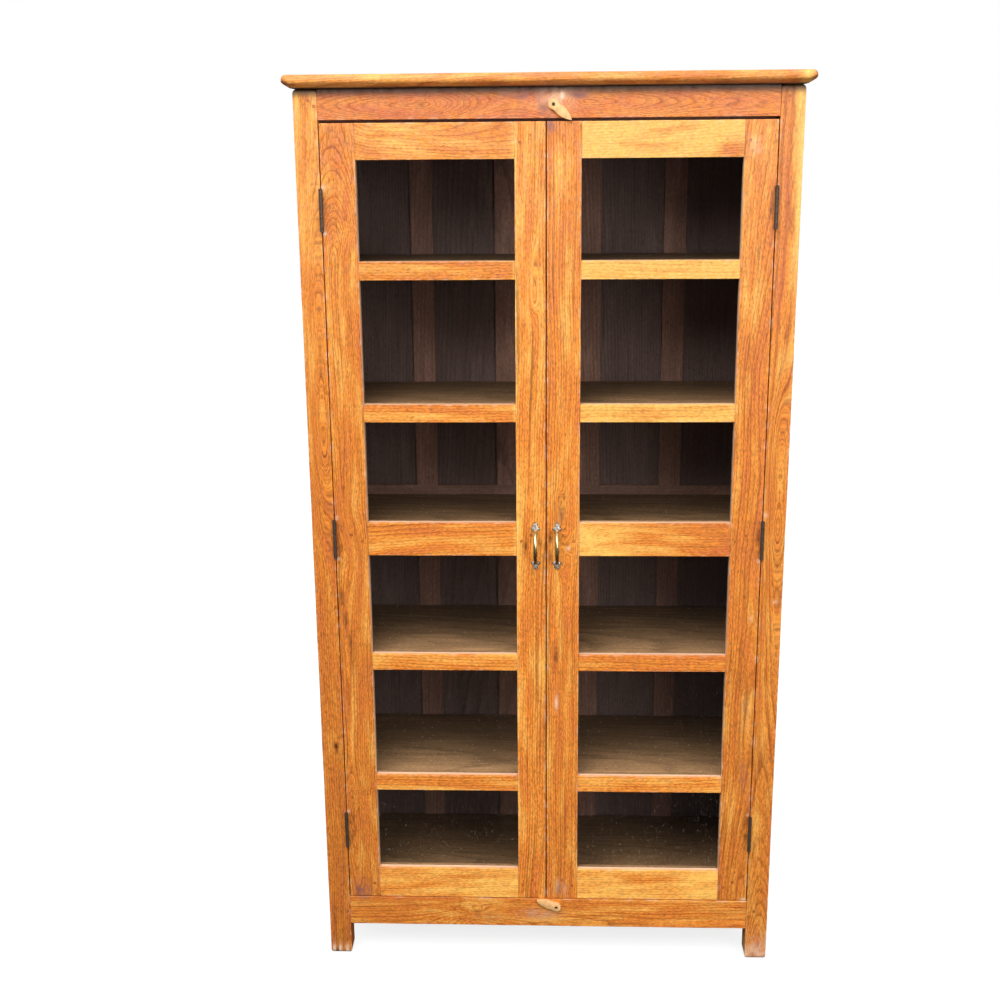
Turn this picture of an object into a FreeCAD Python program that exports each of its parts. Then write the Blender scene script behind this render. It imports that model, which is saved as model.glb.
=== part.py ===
import FreeCAD, Part
import math
import os
from FreeCAD import Vector

# A free-standing display cabinet of solid teak: four posts that run down into the feet, framed and
# panelled back and sides, five shelves, and a pair of glazed doors on butt hinges. Rails meet posts and
# stiles in pegged mortises and tenons, panels stand in grooves, and panes lie in rebates under beads.
# Frame: X across the front, +Y to the back, +Z up. The origin is on the floor, in the middle of the
# whole outline. All sizes are in millimetres.

# Carcass
carcass_width = 920.0
carcass_depth = 360.0
post_width = 44.0
post_depth = 44.0
post_arris = 1.5
foot_height = 71.5
foot_bevel = 4.0
bottom_rail_height = 64.5
head_rail_height = 55.0
carcass_tenon_share = 0.5
side_tenon_share = 0.4
front_tenon_thickness = 12.0
tenon_shoulder = 12.0

# Top board
top_thickness = 24.0
top_side_overhang = 17.0
top_front_overhang = 24.0
top_nose_radius = 8.0
top_corner_radius = 12.0
top_bevel = 5.0

# Framed and panelled back and sides
side_rail_thickness = 24.0
side_inset = 3.0
back_rail_thickness = 22.0
back_inset = 3.0
end_rail_height = 70.0
mid_rail_height = 61.0
mid_rail_drop = 6.0
muntin_width = 46.0
back_bays = 5
side_bays = 2
panel_thickness = 9.0
groove_depth = 9.0
panel_side_room = 1.0
panel_top_room = 1.5

# Shelves, bottom board and stop
shelf_thickness = 18.0
shelf_rise = 4.0
shelf_room = 0.5
shelf_setback = 4.0
shelf_arris = 2.0
bottom_board_thickness = 16.0
cleat_width = 18.0
cleat_height = 20.0
cleat_bevel = 8.0
stop_thickness = 9.0
stop_height = 12.0
stop_gap = 1.0

# Doors, from the bottom to the top where a size has several values
door_thickness = 26.0
door_side_gap = 1.5
door_top_gap = 5.0
door_bottom_gap = 1.5
door_centre_gap = 2.0
meeting_line = -2.0
left_hinge_stile_width = 64.0
left_meeting_stile_width = 57.0
right_hinge_stile_width = 60.0
right_meeting_stile_width = 63.5
door_bottom_rail_height = 67.5
lock_rail_height = 67.0
door_top_rail_height = 65.5
bar_height = 34.5
pane_heights = (178.0, 230.0, 206.0, 199.0, 235.0, 183.0)
door_arris = 0.8
door_tenon_thickness = 9.0
rail_tenon_share = 0.7
bar_tenon_share = 0.35
tenon_edge = 2.0
lip_depth = 14.0
glass_rebate = 9.0
glass_thickness = 3.0
glass_room = 1.0
bead_bevel_share = 0.45

# Pegs through the tenons
peg_size = 6.0
peg_blind = 3.0
peg_run_shares = (0.25, 0.72)
peg_rise_shares = (-0.05, 0.13)

# Butt hinges
hinge_height = 76.0
hinge_inset = 155.0
knuckle_radius = 3.5
knuckle_count = 3
knuckle_gap = 0.4
knuckle_room = 0.4
leaf_thickness = 2.0
leaf_margin = 5.0
pin_radius = 1.8
pin_room = 0.05
pin_head_radius = 2.8
pin_head_height = 1.6

# Bow pulls
pull_length = 97.0
pull_inset = 20.0
pull_drop = 13.0
pull_projection = 30.0
plate_length = 20.0
plate_width = 17.5
plate_thickness = 2.6
plate_edge = 1.2
grip_width = 7.6
grip_sides = 12
grip_thickness = 6.4
grip_seat_share = 0.7

# Turn buttons
blade_length = 43.0
blade_width = 17.2
button_head_radius = 9.4
button_thickness = 8.0
button_crown = 1.6
button_room = 0.5
button_clear = 1.5
button_neck_degrees = 35.0
top_pivot_x = 11.0
top_pivot_rise_share = 0.44
bottom_pivot_x = 19.0
bottom_button_degrees = 20.0
nail_radius = 1.8
nail_head_radius = 3.0
nail_head_height = 1.2
nail_depth = 24.0
nail_sink = 3.4
nail_room = 0.3

# Fits shared by all the joints
fit = 0.15
mortise_end_room = 1.0
overrun = 1.0
touch = 0.001

# Outlines as shares of the piece's length and half width, from the grip's side to the tip
plate_tip_share = 1.0
plate_flank_shares = (0.62, 0.70)
plate_shoulder_shares = (1.0, 0.28)
plate_lobe_shares = (0.92, 0.06)
plate_lobe_end_shares = (0.60, 0.0)
plate_hollow_share = 0.14
blade_swell_shares = (1.0, 0.42)
blade_flank_shares = (0.62, 0.76)
blade_waist_shares = (0.93, 0.25)

# Sizes that follow from the ones above
post_inner = carcass_width / 2 - post_width
front_rail_thickness = door_thickness + stop_gap + stop_thickness
bottom_rail_top = foot_height + bottom_rail_height
door_bottom = bottom_rail_top + door_bottom_gap
member_heights = (
    door_bottom_rail_height,
    bar_height,
    bar_height,
    lock_rail_height,
    bar_height,
    bar_height,
    door_top_rail_height,
)
door_top = door_bottom + sum(member_heights) + sum(pane_heights)
head_rail_bottom = door_top + door_top_gap
carcass_height = head_rail_bottom + head_rail_height
front_reach = max(pull_projection, top_front_overhang)
front = (front_reach - carcass_depth) / 2
back = front + carcass_depth
front_post_y = (front, front + post_depth)
back_post_y = (back - post_depth, back)
side_inner = carcass_width / 2 - side_inset - side_rail_thickness
back_inner = back - back_inset - back_rail_thickness
door_y = (front, front + door_thickness)
lip_y = (front, front + lip_depth)
glass_y = (lip_y[1], lip_y[1] + glass_thickness)
bead_y = (glass_y[1], door_y[1])
leaf_width = door_thickness - leaf_margin
hinge_y = front - knuckle_radius - knuckle_room
hinge_x = post_inner - door_side_gap / 2
button_back = front - button_room
button_front = button_back - button_thickness


def span(a, b):
    """Two values in rising order."""
    return (min(a, b), max(a, b))


def about(middle, size):
    """A span of one size on both sides of a middle."""
    return (middle - size / 2, middle + size / 2)


def grown(values, by):
    """A span with the same amount added at both ends."""
    return (values[0] - by, values[1] + by)


def block(x, y, z):
    """A rectangular solid between a low and a high value on each axis."""
    return Part.makeBox(x[1] - x[0], y[1] - y[0], z[1] - z[0], Vector(x[0], y[0], z[0]))


def prism(points, direction):
    """A flat outline carried along a direction."""
    return Part.Face(Part.makePolygon(points + points[:1])).extrude(direction)


def joined(first, *others):
    """One solid from several that meet, with no seams on flat faces."""
    return first.fuse(list(others)).removeSplitter().Solids[0]


def without(shape, cutters):
    """What is left of a shape after some cuts."""
    return shape.cut(list(cutters)).removeSplitter().Solids[0]


def edges_at(shape, axis, value):
    """The edges that lie wholly where one coordinate has one value."""
    def off(edge):
        ends = (getattr(edge.BoundBox, axis + "Min"), getattr(edge.BoundBox, axis + "Max"))
        return max(abs(end - value) for end in ends)

    return [edge for edge in shape.Edges if off(edge) < touch]


def eased(shape, width):
    """The shape with its front arrises taken off."""
    return shape.makeChamfer(width, edges_at(shape, "Y", front))


def mirrored(shape):
    """The same shape on the other side of the cabinet."""
    return shape.mirror(Vector(0, 0, 0), Vector(1, 0, 0))


def save(name, solids):
    """Write one node: a single solid, or a group of like solids."""
    shape = solids[0] if len(solids) == 1 else Part.makeCompound(solids)
    shape.exportStep(os.path.join("parts", name + ".step"))


def door_levels():
    """The height spans of a door's rails and bars, and of its panes, from the bottom up."""
    members = []
    panes = []
    low = door_bottom
    for index, height in enumerate(member_heights):
        members.append((low, low + height))
        low += height
        if index < len(pane_heights):
            panes.append((low, low + pane_heights[index]))
            low += pane_heights[index]
    return members, panes


member_spans, pane_spans = door_levels()
lock_middle = sum(member_spans[3]) / 2
hinge_middles = (door_bottom + hinge_inset, lock_middle, door_top - hinge_inset)
hinge_spans = [about(middle, hinge_height) for middle in hinge_middles]


def framed_wall(along, across, bays, wall_block, tenon_length):
    """Top, middle and bottom rails with muntins and panels between two posts.

    along is the clear span between the posts and across is the thickness, and wall_block turns spans
    along, across and up into a solid. Stub tongues on the muntins and the edges of the panels stand in
    one groove. Returns the pieces and what has to be cut out of the posts at each end of the span.
    """
    middle = sum(across) / 2
    groove = about(middle, panel_thickness + 2 * fit)
    tongue = about(middle, panel_thickness)
    mid_middle = lock_middle - mid_rail_drop
    levels = {
        "bottom_rail": (foot_height, bottom_rail_top),
        "mid_rail": about(mid_middle, mid_rail_height),
        "top_rail": (carcass_height - end_rail_height, carcass_height),
    }
    fields = [
        (levels["bottom_rail"][1], levels["mid_rail"][0]),
        (levels["mid_rail"][1], levels["top_rail"][0]),
    ]
    grooves = [wall_block(along, groove, grown(field, groove_depth)) for field in fields]
    pieces = {}
    cuts = ([], [])
    for name, level in levels.items():
        tenon_z = grown(level, -tenon_shoulder)
        ends = ((along[0] - tenon_length, along[0]), (along[1], along[1] + tenon_length))
        tenons = [wall_block(end, tongue, tenon_z) for end in ends]
        pieces[name] = without(joined(wall_block(along, across, level), *tenons), grooves)
        for cut, end in zip(cuts, ends):
            cut.append(wall_block(grown(end, mortise_end_room), groove, grown(tenon_z, fit)))
    bay = (along[1] - along[0] - (bays - 1) * muntin_width) / bays
    muntins = []
    panels = []
    edge = groove_depth - panel_side_room
    for field in fields:
        for cut, end in zip(cuts, along):
            cut.append(wall_block(grown((end, end), groove_depth), groove, grown(field, groove_depth)))
        for index in range(bays):
            low = along[0] + index * (bay + muntin_width)
            panel_z = (field[0] - groove_depth, field[1] + groove_depth - panel_top_room)
            panels.append(wall_block(grown((low, low + bay), edge), tongue, panel_z))
        for index in range(1, bays):
            low = along[0] + index * (bay + muntin_width) - muntin_width
            wide = (low, low + muntin_width)
            body = wall_block(wide, across, field)
            stub_z = grown(field, groove_depth - panel_top_room)
            stub = wall_block(grown(wide, -groove_depth), tongue, stub_z)
            groove_z = grown(field, groove_depth)
            sides = [wall_block(grown((x, x), groove_depth), groove, groove_z) for x in wide]
            muntins.append(joined(without(body, sides), stub))
    pieces["muntins"] = muntins
    pieces["panels"] = panels
    return pieces, cuts


def post(x, y, cuts):
    """A square post with eased corners and bevelled foot, cut for the rails, panels and hinges."""
    whole = block(x, y, (0, carcass_height))
    corners = [edge for edge in whole.Edges if edge.BoundBox.ZLength > carcass_height / 2]
    rounded = whole.makeFillet(post_arris, corners)
    bevelled = whole.makeChamfer(foot_bevel, edges_at(whole, "Z", 0))
    return without(rounded.common(bevelled).Solids[0], cuts)


def front_rail(level):
    """A rail between the front posts with a tenon at each end, and the cut for its tenon on the right."""
    along = (-post_inner, post_inner)
    body = eased(block(along, (front, front + front_rail_thickness), level), door_arris)
    tenon_y = about(front + front_rail_thickness / 2, front_tenon_thickness)
    tenon_z = grown(level, -tenon_shoulder)
    tenon_length = post_width * carcass_tenon_share
    end = (post_inner, post_inner + tenon_length)
    tenon = block(end, tenon_y, tenon_z)
    mortise = block(grown(end, mortise_end_room), grown(tenon_y, fit), grown(tenon_z, fit))
    pegs = [
        block(
            about(post_inner + run * tenon_length, peg_size),
            (front, front + front_rail_thickness - peg_blind),
            about(sum(level) / 2 + rise * (level[1] - level[0]), peg_size),
        )
        for run, rise in zip(peg_run_shares, peg_rise_shares)
    ]
    pegs += [mirrored(peg) for peg in pegs]
    rail = without(joined(body, tenon, mirrored(tenon)), pegs)
    return rail, mortise, pegs


def side_pegs(levels, tenon_length):
    """One peg through the tenon of each rail of the right side, at both of its posts."""
    x = (side_inner, carcass_width / 2)
    runs = (front_post_y[1] - tenon_length / 2, back_post_y[0] + tenon_length / 2)
    return [block(x, about(y, peg_size), about(sum(z) / 2, peg_size)) for z in levels for y in runs]


def back_pegs(levels, tenon_length):
    """One peg through the tenon of each rail of the back, at both posts, from behind."""
    y = (back_inner, back)
    x = post_inner + tenon_length / 2
    pegs = [block(about(x, peg_size), y, about(sum(z) / 2, peg_size)) for z in levels]
    return pegs + [mirrored(peg) for peg in pegs]


def top_board():
    """The top with rounded plan corners in front, a rounded nose and a bevel below it on three sides."""
    half = carcass_width / 2 + top_side_overhang
    level = (carcass_height, carcass_height + top_thickness)
    nose = front - top_front_overhang
    whole = block((-half, half), (nose, back), level)
    corners = [
        edge
        for edge in whole.Edges
        if edge.BoundBox.ZLength > top_thickness / 2 and abs(edge.BoundBox.YMax - nose) < touch
    ]
    rounded = whole.makeFillet(top_corner_radius, corners)
    below = [edge for edge in edges_at(rounded, "Z", level[0]) if abs(edge.BoundBox.YMin - back) > touch]
    bevelled = rounded.makeChamfer(top_bevel, below)
    above = [edge for edge in edges_at(bevelled, "Z", level[1]) if abs(edge.BoundBox.YMin - back) > touch]
    return bevelled.makeFillet(top_nose_radius, above)


def shelf(top, thickness, front_edge):
    """A board between the sides, notched round the four posts, with an eased front edge."""
    half = side_inner - shelf_room
    level = (top - thickness, top)
    board = block((-half, half), (front_edge, back_inner - shelf_room), level)
    room_x = span(post_inner - shelf_room, carcass_width)
    notches = [block(room_x, grown(y, shelf_room), level) for y in (front_post_y, back_post_y)]
    notched = without(board, notches + [mirrored(notch) for notch in notches])
    nose = [edge for edge in edges_at(notched, "Y", front_edge) if edge.BoundBox.XLength > half]
    return notched.makeFillet(shelf_arris, nose)


def cleat(top):
    """A bearer on the inner faces of the right posts, under a board, with a bevelled front end."""
    low = top - cleat_height
    nose = front + front_rail_thickness + shelf_room
    outline = [
        Vector(post_inner, nose, top),
        Vector(post_inner, back_inner - shelf_room, top),
        Vector(post_inner, back_inner - shelf_room, low),
        Vector(post_inner, nose + cleat_bevel, low),
        Vector(post_inner, nose, low + cleat_bevel),
    ]
    return prism(outline, Vector(-cleat_width, 0, 0))


def hinge_leaf(plate_x, axis_x, level, first):
    """A hinge leaf let into the wood, with every other knuckle of the barrel from the one called first."""
    pitch = (hinge_height + knuckle_gap) / knuckle_count
    body = block(plate_x, (front, front + leaf_width), level)
    axis = Vector(axis_x, hinge_y, level[0])
    knuckles = []
    for index in range(first, knuckle_count, 2):
        low = level[0] + index * pitch
        high = low + pitch - knuckle_gap
        knuckles.append(block(plate_x, (hinge_y, front), (low, high)))
        knuckles.append(Part.makeCylinder(knuckle_radius, high - low, Vector(axis_x, hinge_y, low)))
    bore = Part.makeCylinder(pin_radius + pin_room, hinge_height, axis)
    return without(joined(body, *knuckles), [bore])


def hinge_pin(axis_x, level):
    """A pin dropped into the barrel from above, with a head on top."""
    shank = Part.makeCylinder(pin_radius, hinge_height, Vector(axis_x, hinge_y, level[0]))
    head = Part.makeCylinder(pin_head_radius, pin_head_height, Vector(axis_x, hinge_y, level[1]))
    return joined(shank, head)


def hinge_recess(plate_x, level):
    """The shallow cut that a hinge leaf lies in."""
    return block(plate_x, (front - overrun, front + leaf_width + fit), grown(level, fit))


def stile(outer, lip, cuts):
    """A door stile with a rebate for the glass behind its inner edge."""
    rebate = lip + math.copysign(glass_rebate, outer - lip)
    outline = [
        Vector(outer, front, door_bottom),
        Vector(lip, front, door_bottom),
        Vector(lip, lip_y[1], door_bottom),
        Vector(rebate, lip_y[1], door_bottom),
        Vector(rebate, door_y[1], door_bottom),
        Vector(outer, door_y[1], door_bottom),
    ]
    return without(eased(prism(outline, Vector(0, 0, door_top - door_bottom)), door_arris), cuts)


def door_member(lips, level, tenon_z, rear_z, tenon_lengths):
    """A rail or glazing bar: a front lip, a stem behind it that fills the stiles' rebates, and tenons."""
    lip = eased(block(lips, lip_y, level), door_arris)
    stem = block(grown(lips, glass_rebate), (lip_y[1], door_y[1]), rear_z)
    tenon_y = about(sum(door_y) / 2, door_tenon_thickness)
    ends = ((lips[0] - tenon_lengths[0], lips[0]), (lips[1], lips[1] + tenon_lengths[1]))
    tenons = [block(end, tenon_y, tenon_z) for end in ends]
    mortises = [block(grown(end, mortise_end_room), grown(tenon_y, fit), grown(tenon_z, fit)) for end in ends]
    return joined(lip, stem, *tenons), mortises


def bead(start, end, inward):
    """One mitred glazing bead with a bevelled inner edge, from corner to corner of a rebate."""
    along = (end - start).normalize()
    bevel = bead_bevel_share * glass_rebate
    rise = bead_y[1] - bead_y[0]
    section = (
        (0, bead_y[0]),
        (glass_rebate, bead_y[0]),
        (glass_rebate, bead_y[0] + bead_bevel_share * rise),
        (glass_rebate - bevel, bead_y[1]),
        (0, bead_y[1]),
    )
    wires = []
    for corner, way in ((start, along), (end, along * -1)):
        points = [corner + (way + inward) * offset + Vector(0, y, 0) for offset, y in section]
        wires.append(Part.makePolygon(points + points[:1]))
    return Part.makeLoft(wires, True, True)


def pane_beads(x, z):
    """Four beads round one pane's rebate."""
    corners = [Vector(x[0], 0, z[0]), Vector(x[1], 0, z[0]), Vector(x[1], 0, z[1]), Vector(x[0], 0, z[1])]
    ways = (Vector(0, 0, 1), Vector(-1, 0, 0), Vector(0, 0, -1), Vector(1, 0, 0))
    return [bead(corners[i], corners[(i + 1) % len(corners)], way) for i, way in enumerate(ways)]


def arc(points):
    """A circular edge through three points."""
    return Part.Arc(*points).toShape()


def leaf_plate(x, base, way):
    """A leaf-shaped end plate, domed in front, with two lobes towards the grip and a point away from it."""

    def at(across_share, along_share):
        return Vector(x + across_share * plate_width / 2, front, base + way * along_share * plate_length)

    def flank(sign):
        shares = [plate_lobe_end_shares, plate_lobe_shares, plate_shoulder_shares, plate_flank_shares]
        points = [at(sign * across, along) for across, along in shares] + [at(0, plate_tip_share)]
        return arc(points[:3]), arc(points[2:])

    left_lobe, left_side = flank(-1)
    right_lobe, right_side = flank(1)
    across, along = plate_lobe_end_shares
    hollow = arc((at(-across, along), at(0, plate_hollow_share), at(across, along)))
    outline = Part.Wire(Part.__sortEdges__([hollow, right_lobe, right_side, left_side, left_lobe]))
    plate = Part.Face(outline).extrude(Vector(0, -plate_thickness - overrun, 0))
    crown = plate_thickness - plate_edge
    radius = ((plate_length / 2) ** 2 + crown**2) / (2 * crown)
    middle = Vector(x, front - plate_thickness + radius, base + way * plate_length / 2)
    return plate.common(Part.makeSphere(radius, middle)).Solids[0]


def bow_pull(x, middle):
    """A cast pull: an oval grip with narrow flats, bent in an arc between two leaf-shaped plates."""
    seat = pull_length / 2 - grip_seat_share * plate_length
    rise = pull_projection - grip_thickness / 2
    radius = (seat**2 + rise**2) / (2 * rise)
    centre = Vector(x, front - rise + radius, middle)
    half_turn = math.degrees(math.atan2(seat, radius - rise)) + math.degrees(grip_thickness / radius)
    foremost = Vector(x, front - rise, middle)
    rim = []
    for index in range(grip_sides + 1):
        angle = 2 * math.pi * index / grip_sides
        across = grip_width / 2 * math.cos(angle)
        rim.append(foremost + Vector(across, grip_thickness / 2 * math.sin(angle), 0))
    section = Part.Face(Part.makePolygon(rim))
    section.rotate(centre, Vector(1, 0, 0), -half_turn)
    swept = section.revolve(centre, Vector(1, 0, 0), 2 * half_turn)
    behind = block(about(x, pull_length), (front, front + pull_length), about(middle, 2 * pull_length))
    base = pull_length / 2 - plate_length
    plates = [leaf_plate(x, middle + way * base, way) for way in (1, -1)]
    return joined(without(swept, [behind]), *plates)


def turn_button(pivot, degrees):
    """A teardrop button, crowned in front, with a round head and a waist, turned from pointing down."""
    neck = math.radians(button_neck_degrees)
    half = blade_width / 2

    def at(across, down):
        return Vector(pivot[0] + across, button_back, pivot[1] - down)

    def flank(sign):
        head = at(sign * button_head_radius * math.cos(neck), button_head_radius * math.sin(neck))
        waist = at(sign * blade_waist_shares[0] * half, blade_waist_shares[1] * blade_length)
        swell = at(sign * blade_swell_shares[0] * half, blade_swell_shares[1] * blade_length)
        taper = at(sign * blade_flank_shares[0] * half, blade_flank_shares[1] * blade_length)
        return arc((head, waist, swell)), arc((swell, taper, at(0, blade_length))), head

    left_waist, left_taper, left_head = flank(-1)
    right_waist, right_taper, right_head = flank(1)
    head = arc((left_head, at(0, -button_head_radius), right_head))
    outline = Part.Wire(Part.__sortEdges__([head, right_waist, right_taper, left_taper, left_waist]))
    body = Part.Face(outline).extrude(Vector(0, -button_thickness - overrun, 0))
    radius = (half**2 + button_crown**2) / (2 * button_crown)
    foot = Vector(pivot[0], button_front + radius, pivot[1] - blade_length - overrun)
    crown = Part.makeCylinder(radius, blade_length + 2 * button_head_radius, foot)
    rounded = body.common(crown).Solids[0]
    out = Vector(0, -1, 0)
    bore = Part.makeCylinder(nail_radius + pin_room, button_thickness, at(0, 0), out)
    sink_from = Vector(pivot[0], button_front + nail_sink, pivot[1])
    sink = Part.makeCylinder(nail_head_radius + nail_room, nail_sink, sink_from, out)
    button = without(rounded, [bore, sink])
    button.rotate(at(0, 0), Vector(0, -1, 0), degrees)
    return button


def button_nail(pivot):
    """A nail whose head lies sunk in the button, and the hole for it in the rail."""
    out = Vector(0, -1, 0)
    start = Vector(pivot[0], front + nail_depth, pivot[1])
    head_seat = button_front + nail_sink - nail_room
    shank = Part.makeCylinder(nail_radius, start.y - head_seat, start, out)
    head = Part.makeCylinder(nail_head_radius, nail_head_height, Vector(pivot[0], head_seat, pivot[1]), out)
    hole = Part.makeCylinder(nail_radius + pin_room, nail_depth + overrun, start, out)
    return joined(shank, head), hole


def carcass():
    """Write the posts, walls and top, and return the two front rails, still without their nail holes."""
    side_length = post_depth * side_tenon_share
    back_length = post_width * carcass_tenon_share
    side_x = span(side_inner, side_inner + side_rail_thickness)
    side_along = (front_post_y[1], back_post_y[0])
    side_parts, side_cuts = framed_wall(
        side_along, side_x, side_bays, lambda u, v, z: block(v, u, z), side_length
    )
    back_parts, back_cuts = framed_wall(
        (-post_inner, post_inner),
        (back_inner, back_inner + back_rail_thickness),
        back_bays,
        block,
        back_length,
    )
    head_rail, head_mortise, head_pegs = front_rail((head_rail_bottom, carcass_height))
    bottom_rail, bottom_mortise, bottom_pegs = front_rail((foot_height, bottom_rail_top))
    names = ("bottom_rail", "mid_rail", "top_rail")
    mid_level = about(lock_middle - mid_rail_drop, mid_rail_height)
    levels = [(foot_height, bottom_rail_top), mid_level, (carcass_height - end_rail_height, carcass_height)]
    pegs_right = side_pegs(levels, side_length)
    pegs_back = back_pegs(levels, back_length)
    recesses = [hinge_recess((post_inner, post_inner + leaf_thickness), level) for level in hinge_spans]
    outer_x = (post_inner, carcass_width / 2)
    front_cuts = side_cuts[0] + [head_mortise, bottom_mortise] + recesses
    front_post = post(outer_x, front_post_y, front_cuts + head_pegs + bottom_pegs + pegs_right)
    back_post = post(outer_x, back_post_y, side_cuts[1] + back_cuts[1] + pegs_right + pegs_back)
    save("front_right_post", [front_post])
    save("front_left_post", [mirrored(front_post)])
    save("back_right_post", [back_post])
    save("back_left_post", [mirrored(back_post)])
    for name in names:
        rail = without(side_parts[name], pegs_right)
        save("right_side_" + name, [rail])
        save("left_side_" + name, [mirrored(rail)])
        save("back_" + name, [without(back_parts[name], pegs_back)])
    for name in ("muntins", "panels"):
        save("right_side_" + name, side_parts[name])
        save("left_side_" + name, [mirrored(piece) for piece in side_parts[name]])
        save("back_" + name, back_parts[name])
    pegs = head_pegs + bottom_pegs + pegs_back + pegs_right + [mirrored(peg) for peg in pegs_right]
    save("frame_pegs", pegs)
    save("top_board", [top_board()])
    return head_rail, bottom_rail


def inside():
    """Write the bottom board, the shelves behind the bars and lock rail, their cleats and the door stop."""
    tops = [sum(member) / 2 + shelf_rise for member in member_spans[1:-1]]
    for number, top in enumerate(reversed(tops), 1):
        save("shelf_%d" % number, [shelf(top, shelf_thickness, door_y[1] + shelf_setback)])
    board_top = bottom_rail_top + bottom_board_thickness
    save("bottom_board", [shelf(board_top, bottom_board_thickness, door_y[1] + stop_gap)])
    seats = [bottom_rail_top] + [top - shelf_thickness for top in tops]
    cleats = [cleat(seat) for seat in seats]
    save("shelf_cleats", cleats + [mirrored(piece) for piece in cleats])
    stop_y = (front + front_rail_thickness - stop_thickness, front + front_rail_thickness)
    stop_z = (head_rail_bottom - stop_height, head_rail_bottom)
    save("door_stop", [block((-post_inner, post_inner), stop_y, stop_z)])


def door(name, side, hinge_width, meeting_width):
    """Write one door: its frame, panes, beads, pegs, hinge leaves and pull."""
    hinge_edge = side * (post_inner - door_side_gap)
    meeting_edge = meeting_line + side * door_centre_gap / 2
    hinge_lip = hinge_edge - side * hinge_width
    meeting_lip = meeting_edge + side * meeting_width
    lips = span(hinge_lip, meeting_lip)
    widths = {hinge_lip: hinge_width, meeting_lip: meeting_width}
    cuts = {hinge_lip: [], meeting_lip: []}
    bars = []
    rails = {}
    pegs = []
    rail_names = {0: "bottom_rail", 3: "lock_rail", len(member_spans) - 1: "top_rail"}
    for index, level in enumerate(member_spans):
        is_first = index == 0
        is_last = index == len(member_spans) - 1
        rear_z = (level[0] + glass_rebate * (not is_first), level[1] - glass_rebate * (not is_last))
        low = rear_z[0] + (tenon_shoulder if is_first else tenon_edge)
        tenon_z = (low, rear_z[1] - (tenon_shoulder if is_last else tenon_edge))
        share = rail_tenon_share if index in rail_names else bar_tenon_share
        lengths = [share * widths[lip] for lip in lips]
        member, mortises = door_member(lips, level, tenon_z, rear_z, lengths)
        for lip, mortise in zip(lips, mortises):
            cuts[lip].append(mortise)
        if index not in rail_names:
            bars.append(member)
            continue
        member_pegs = []
        for lip, length in zip(lips, lengths):
            way = math.copysign(1, lip - sum(lips) / 2)
            for run, rise in zip(peg_run_shares, peg_rise_shares):
                x = about(lip + way * run * length, peg_size)
                z = about(sum(level) / 2 + rise * (level[1] - level[0]), peg_size)
                peg = block(x, (front, door_y[1] - peg_blind), z)
                member_pegs.append(peg)
                cuts[lip].append(peg)
        rails[rail_names[index]] = without(member, member_pegs)
        pegs += member_pegs
    plate_x = span(hinge_edge, hinge_edge - side * leaf_thickness)
    cuts[hinge_lip] += [hinge_recess(plate_x, level) for level in hinge_spans]
    save(name + "_hinge_stile", [stile(hinge_edge, hinge_lip, cuts[hinge_lip])])
    save(name + "_meeting_stile", [stile(meeting_edge, meeting_lip, cuts[meeting_lip])])
    for rail_name, rail in rails.items():
        save(name + "_door_" + rail_name, [rail])
    save(name + "_glazing_bars", bars)
    save(name + "_door_pegs", pegs)
    rebate_x = grown(lips, glass_rebate)
    rebates = [grown(level, glass_rebate) for level in pane_spans]
    glass_x = grown(rebate_x, -glass_room)
    save(name + "_panes", [block(glass_x, glass_y, (z[0], z[1] - glass_room)) for z in rebates])
    save(name + "_glazing_beads", [piece for z in rebates for piece in pane_beads(rebate_x, z)])
    leaves = [hinge_leaf(plate_x, side * hinge_x, level, 1) for level in hinge_spans]
    save(name + "_door_hinge_leaves", leaves)
    save(name + "_pull", [bow_pull(meeting_edge + side * pull_inset, lock_middle - pull_drop)])


def hinges():
    """Write the leaves on the posts and the pins of all six hinges."""
    plate_x = (post_inner, post_inner + leaf_thickness)
    leaves = [hinge_leaf(plate_x, hinge_x, level, 0) for level in hinge_spans]
    pins = [hinge_pin(hinge_x, level) for level in hinge_spans]
    save("right_post_hinge_leaves", leaves)
    save("left_post_hinge_leaves", [mirrored(leaf) for leaf in leaves])
    save("hinge_pins", pins + [mirrored(pin) for pin in pins])


def buttons(head_rail, bottom_rail):
    """Write the two turn buttons, parked just clear of the doors, their nails and the rails they are on."""
    top_pivot = (top_pivot_x, head_rail_bottom + top_pivot_rise_share * head_rail_height)
    tilt = math.degrees(math.acos((top_pivot[1] - door_top - button_clear) / blade_length))
    level_button = turn_button((bottom_pivot_x, 0), -(90 + bottom_button_degrees))
    bottom_pivot = (bottom_pivot_x, door_bottom - button_clear - level_button.optimalBoundingBox().ZMax)
    top_nail, top_hole = button_nail(top_pivot)
    bottom_nail, bottom_hole = button_nail(bottom_pivot)
    save("head_rail", [without(head_rail, [top_hole])])
    save("front_bottom_rail", [without(bottom_rail, [bottom_hole])])
    save("top_turn_button", [turn_button(top_pivot, tilt)])
    save("bottom_turn_button", [level_button.translated(Vector(0, 0, bottom_pivot[1]))])
    save("button_nails", [top_nail, bottom_nail])
    print("top pivot", top_pivot, "tilt", tilt, "bottom pivot", bottom_pivot)


os.makedirs("parts", exist_ok=True)
head_rail_blank, bottom_rail_blank = carcass()
inside()
door("left", -1, left_hinge_stile_width, left_meeting_stile_width)
door("right", 1, right_hinge_stile_width, right_meeting_stile_width)
hinges()
buttons(head_rail_blank, bottom_rail_blank)
print("front", front, "back", back, "hinge axis", hinge_x, hinge_y, "height", carcass_height + top_thickness)
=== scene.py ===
import math
from collections import namedtuple
from functools import partial

import bpy
import numpy as np
from mathutils import Matrix, Vector


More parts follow.
